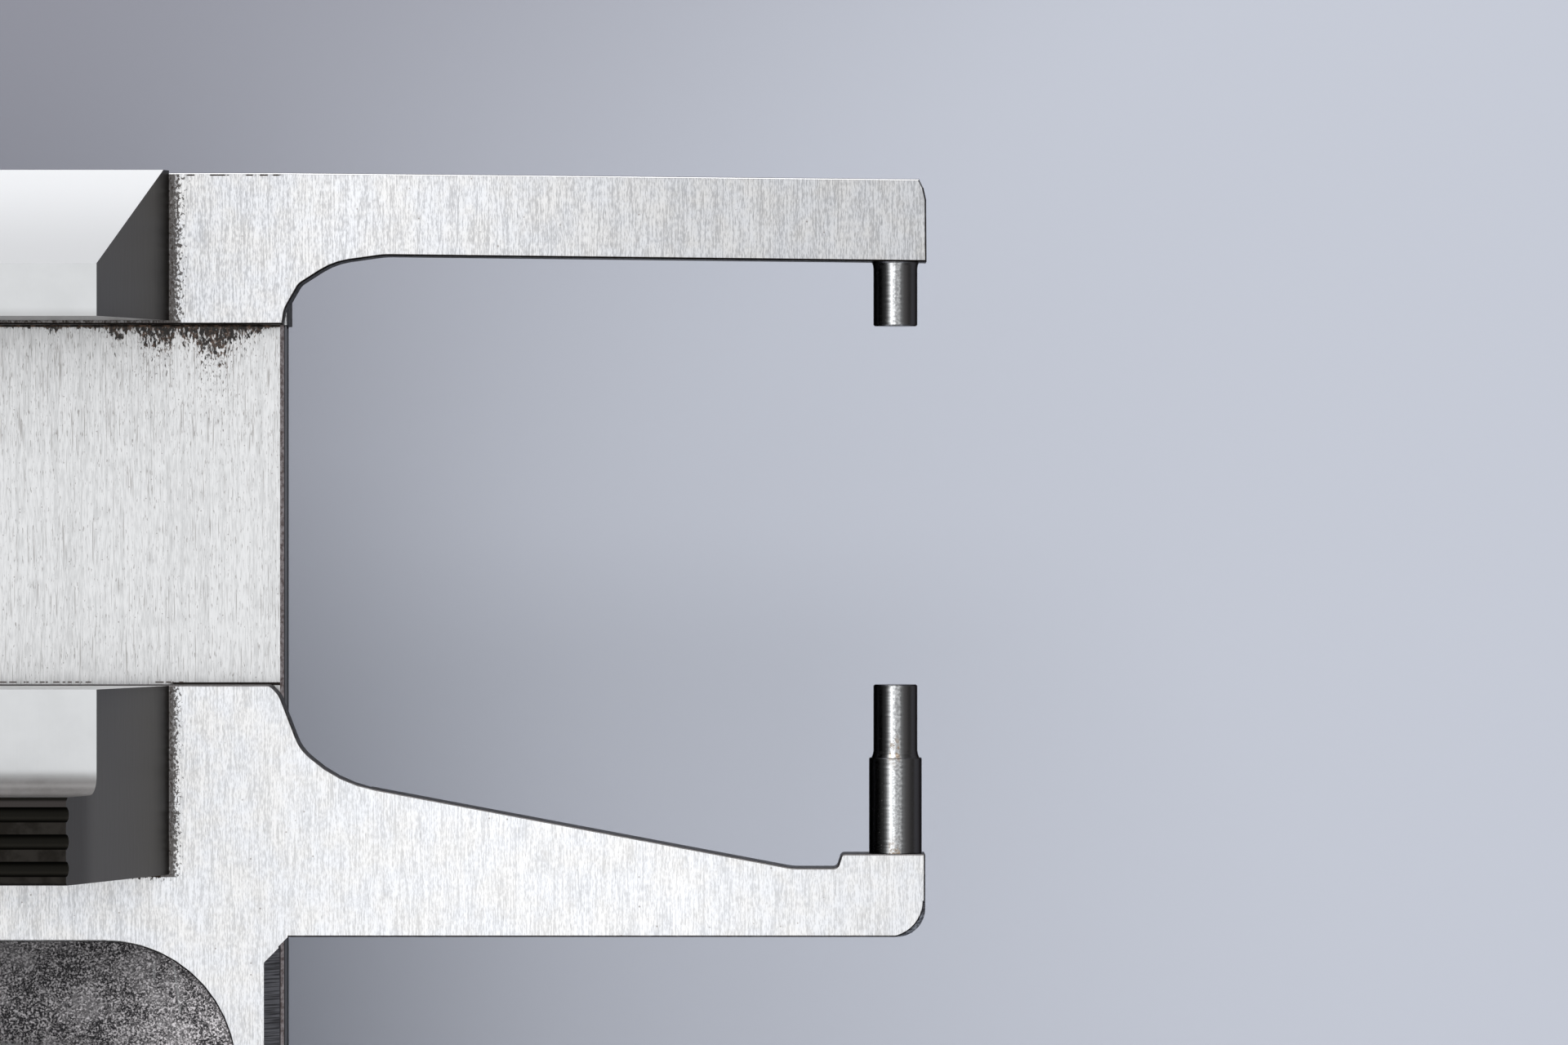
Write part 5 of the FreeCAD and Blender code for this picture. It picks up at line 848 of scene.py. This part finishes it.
def grown(name, tree, values, centre, body, material):
    """The mesh that a tree grows from values, moved to centre and riding on body."""
    seed = bpy.data.objects.new(name + "_seed", bpy.data.meshes.new(name + "_seed"))
    bpy.context.scene.collection.objects.link(seed)
    modifier = seed.modifiers.new("grow", "NODES")
    modifier.node_group = tree
    for item in tree.interface.items_tree:
        if item.in_out == "INPUT" and item.name in values:
            modifier[item.identifier] = values[item.name]
    seed.data.materials.append(material)
    bpy.context.view_layer.update()
    mesh = bpy.data.meshes.new_from_object(seed.evaluated_get(bpy.context.evaluated_depsgraph_get()))
    bpy.data.objects.remove(seed)
    return settle(name, mesh, Matrix.Translation(centre), body, material)


def settle(name, mesh, place, body, material):
    """An object at the origin with its place in its mesh."""
    mesh.transform(place)
    mesh.materials.clear()
    mesh.materials.append(material)
    piece = bpy.data.objects.new(name, mesh)
    bpy.context.scene.collection.objects.link(piece)
    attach(piece, body)
    return piece


def numeral(name, text, size, centre, radius, angle, body, turned=True):
    """A printed number at radius and angle about centre, its foot towards the centre where it is turned."""
    curve = bpy.data.curves.new(name, "FONT")
    curve.body = text
    curve.size = size
    curve.extrude = PRINT_THICK / 2
    source = bpy.data.objects.new(name + "_text", curve)
    bpy.context.scene.collection.objects.link(source)
    bpy.context.view_layer.update()
    mesh = bpy.data.meshes.new_from_object(source.evaluated_get(bpy.context.evaluated_depsgraph_get()))
    bpy.data.objects.remove(source)
    low = [min(v.co[k] for v in mesh.vertices) for k in (0, 1)]
    high = [max(v.co[k] for v in mesh.vertices) for k in (0, 1)]
    centred = Matrix.Translation((-(low[0] + high[0]) / 2, -(low[1] + high[1]) / 2, 0))
    turn = Matrix.Rotation(angle - math.pi / 2 if turned else 0.0, 4, "Z")
    spot = Vector(centre) + Vector((radius * math.cos(angle), radius * math.sin(angle), 0))
    return settle(name, mesh, Matrix.Translation(spot) @ turn @ centred, body, PRINT_BLACK)


def marks(name, tree, count, step, outer, sizes, centre, body):
    values = {"Count": count, "Step": step, "Outer radius": outer, "Thickness": PRINT_THICK,
              "Ink": PRINT_BLACK, **dict(zip(MARK_SIZES, sizes))}
    grown(name, tree, values, centre, body, PRINT_BLACK)


def print_dial():
    """The main scale turns with the bezel; the small dial is printed on the fixed dial plate."""
    tree = marks_tree()
    z = DIAL_FACE + PRINT_LIFT
    top = math.pi / 2
    full_turn = 2 * math.pi
    marks("scale_marks", tree, SCALE_MARKS, full_turn / SCALE_MARKS, SCALE_OUT, SCALE_SIZES, (0, 0, z),
          "bezel")
    for k in range(10):
        numeral("scale_number_%d" % k, str(k), SCALE_FIGURE, (0, 0, z), SCALE_OUT - SCALE_FIGURE_IN,
                top - full_turn * k / 10, "bezel")
    centre = (COUNTER_X, 0, z)
    marks("counter_marks", tree, COUNTER_MM + 1, COUNTER_STEP, COUNTER_R, COUNTER_SIZES, centre, "frame")
    for k in range(0, COUNTER_MM + 1, 5):
        numeral("counter_number_%d" % k, str(k), COUNTER_FIGURE, centre, COUNTER_R - COUNTER_FIGURE_IN,
                top - k * COUNTER_STEP, "frame", turned=False)


# ---- stage -----------------------------------------------------------------------------------------------
def floor_finish():
    """Pale floor with painted shade that darkens it softly towards one corner."""
    finish = Finish("floor_pale", FLOOR_RIGHT, 0.0, 0.9)
    tree = finish.tree
    to_right = add(tree, finish.x, times(tree, maths(tree, "SUBTRACT", 40 * MM, finish.y), 1.2))
    colour = finish.mix(ramp(tree, to_right, -16 * MM, 17 * MM), FLOOR_LEFT, FLOOR_RIGHT)
    return finish.paint(colour)


def set_stage():
    """Pale floor, soft studio light from above and behind, and a dim surround."""
    bpy.ops.mesh.primitive_plane_add(size=3.0, location=(0, 0, -0.0002))
    floor = bpy.context.object
    floor.name = "floor"
    floor.data.materials.append(floor_finish())
    world = bpy.data.worlds.new("studio")
    world.use_nodes = True
    tree = world.node_tree
    back = tree.nodes["Background"]
    back.inputs["Color"].default_value = (0.96, 0.98, 1.0, 1.0)
    view = add_node(tree, "ShaderNodeTexCoord").outputs["Generated"]
    height = add_node(tree, "ShaderNodeSeparateXYZ", Vector=view).outputs["Z"]
    tree.links.new(ramp(tree, height, 0.2, 0.85, SKY_LOW, SKY_HIGH), back.inputs["Strength"])
    bpy.context.scene.world = world
    softbox(name="behind", spot=(-0.1, 0.75, 0.5), aim=(0.01, 0.04, 0.0), size=(0.6, 0.4), power=2.7)


def softbox(name, spot, aim, size, power):
    light = bpy.data.lights.new(name, "AREA")
    light.shape = "RECTANGLE"
    light.size, light.size_y = size
    light.energy = power
    lamp = bpy.data.objects.new(name, light)
    lamp.location = spot
    lamp.rotation_euler = (Vector(aim) - Vector(spot)).to_track_quat("-Z", "Y").to_euler()
    bpy.context.scene.collection.objects.link(lamp)


def set_camera():
    data = bpy.data.cameras.new("camera")
    data.sensor_width = CAMERA_SENSOR
    data.lens = CAMERA_LENS
    data.clip_start = 0.01
    camera = bpy.data.objects.new("camera", data)
    camera.location = CAMERA_SPOT
    bpy.context.scene.collection.objects.link(camera)
    bpy.context.scene.camera = camera


dress_nodes()
print_dial()
set_stage()
set_camera()
bpy.context.scene.view_settings.view_transform = "Standard"
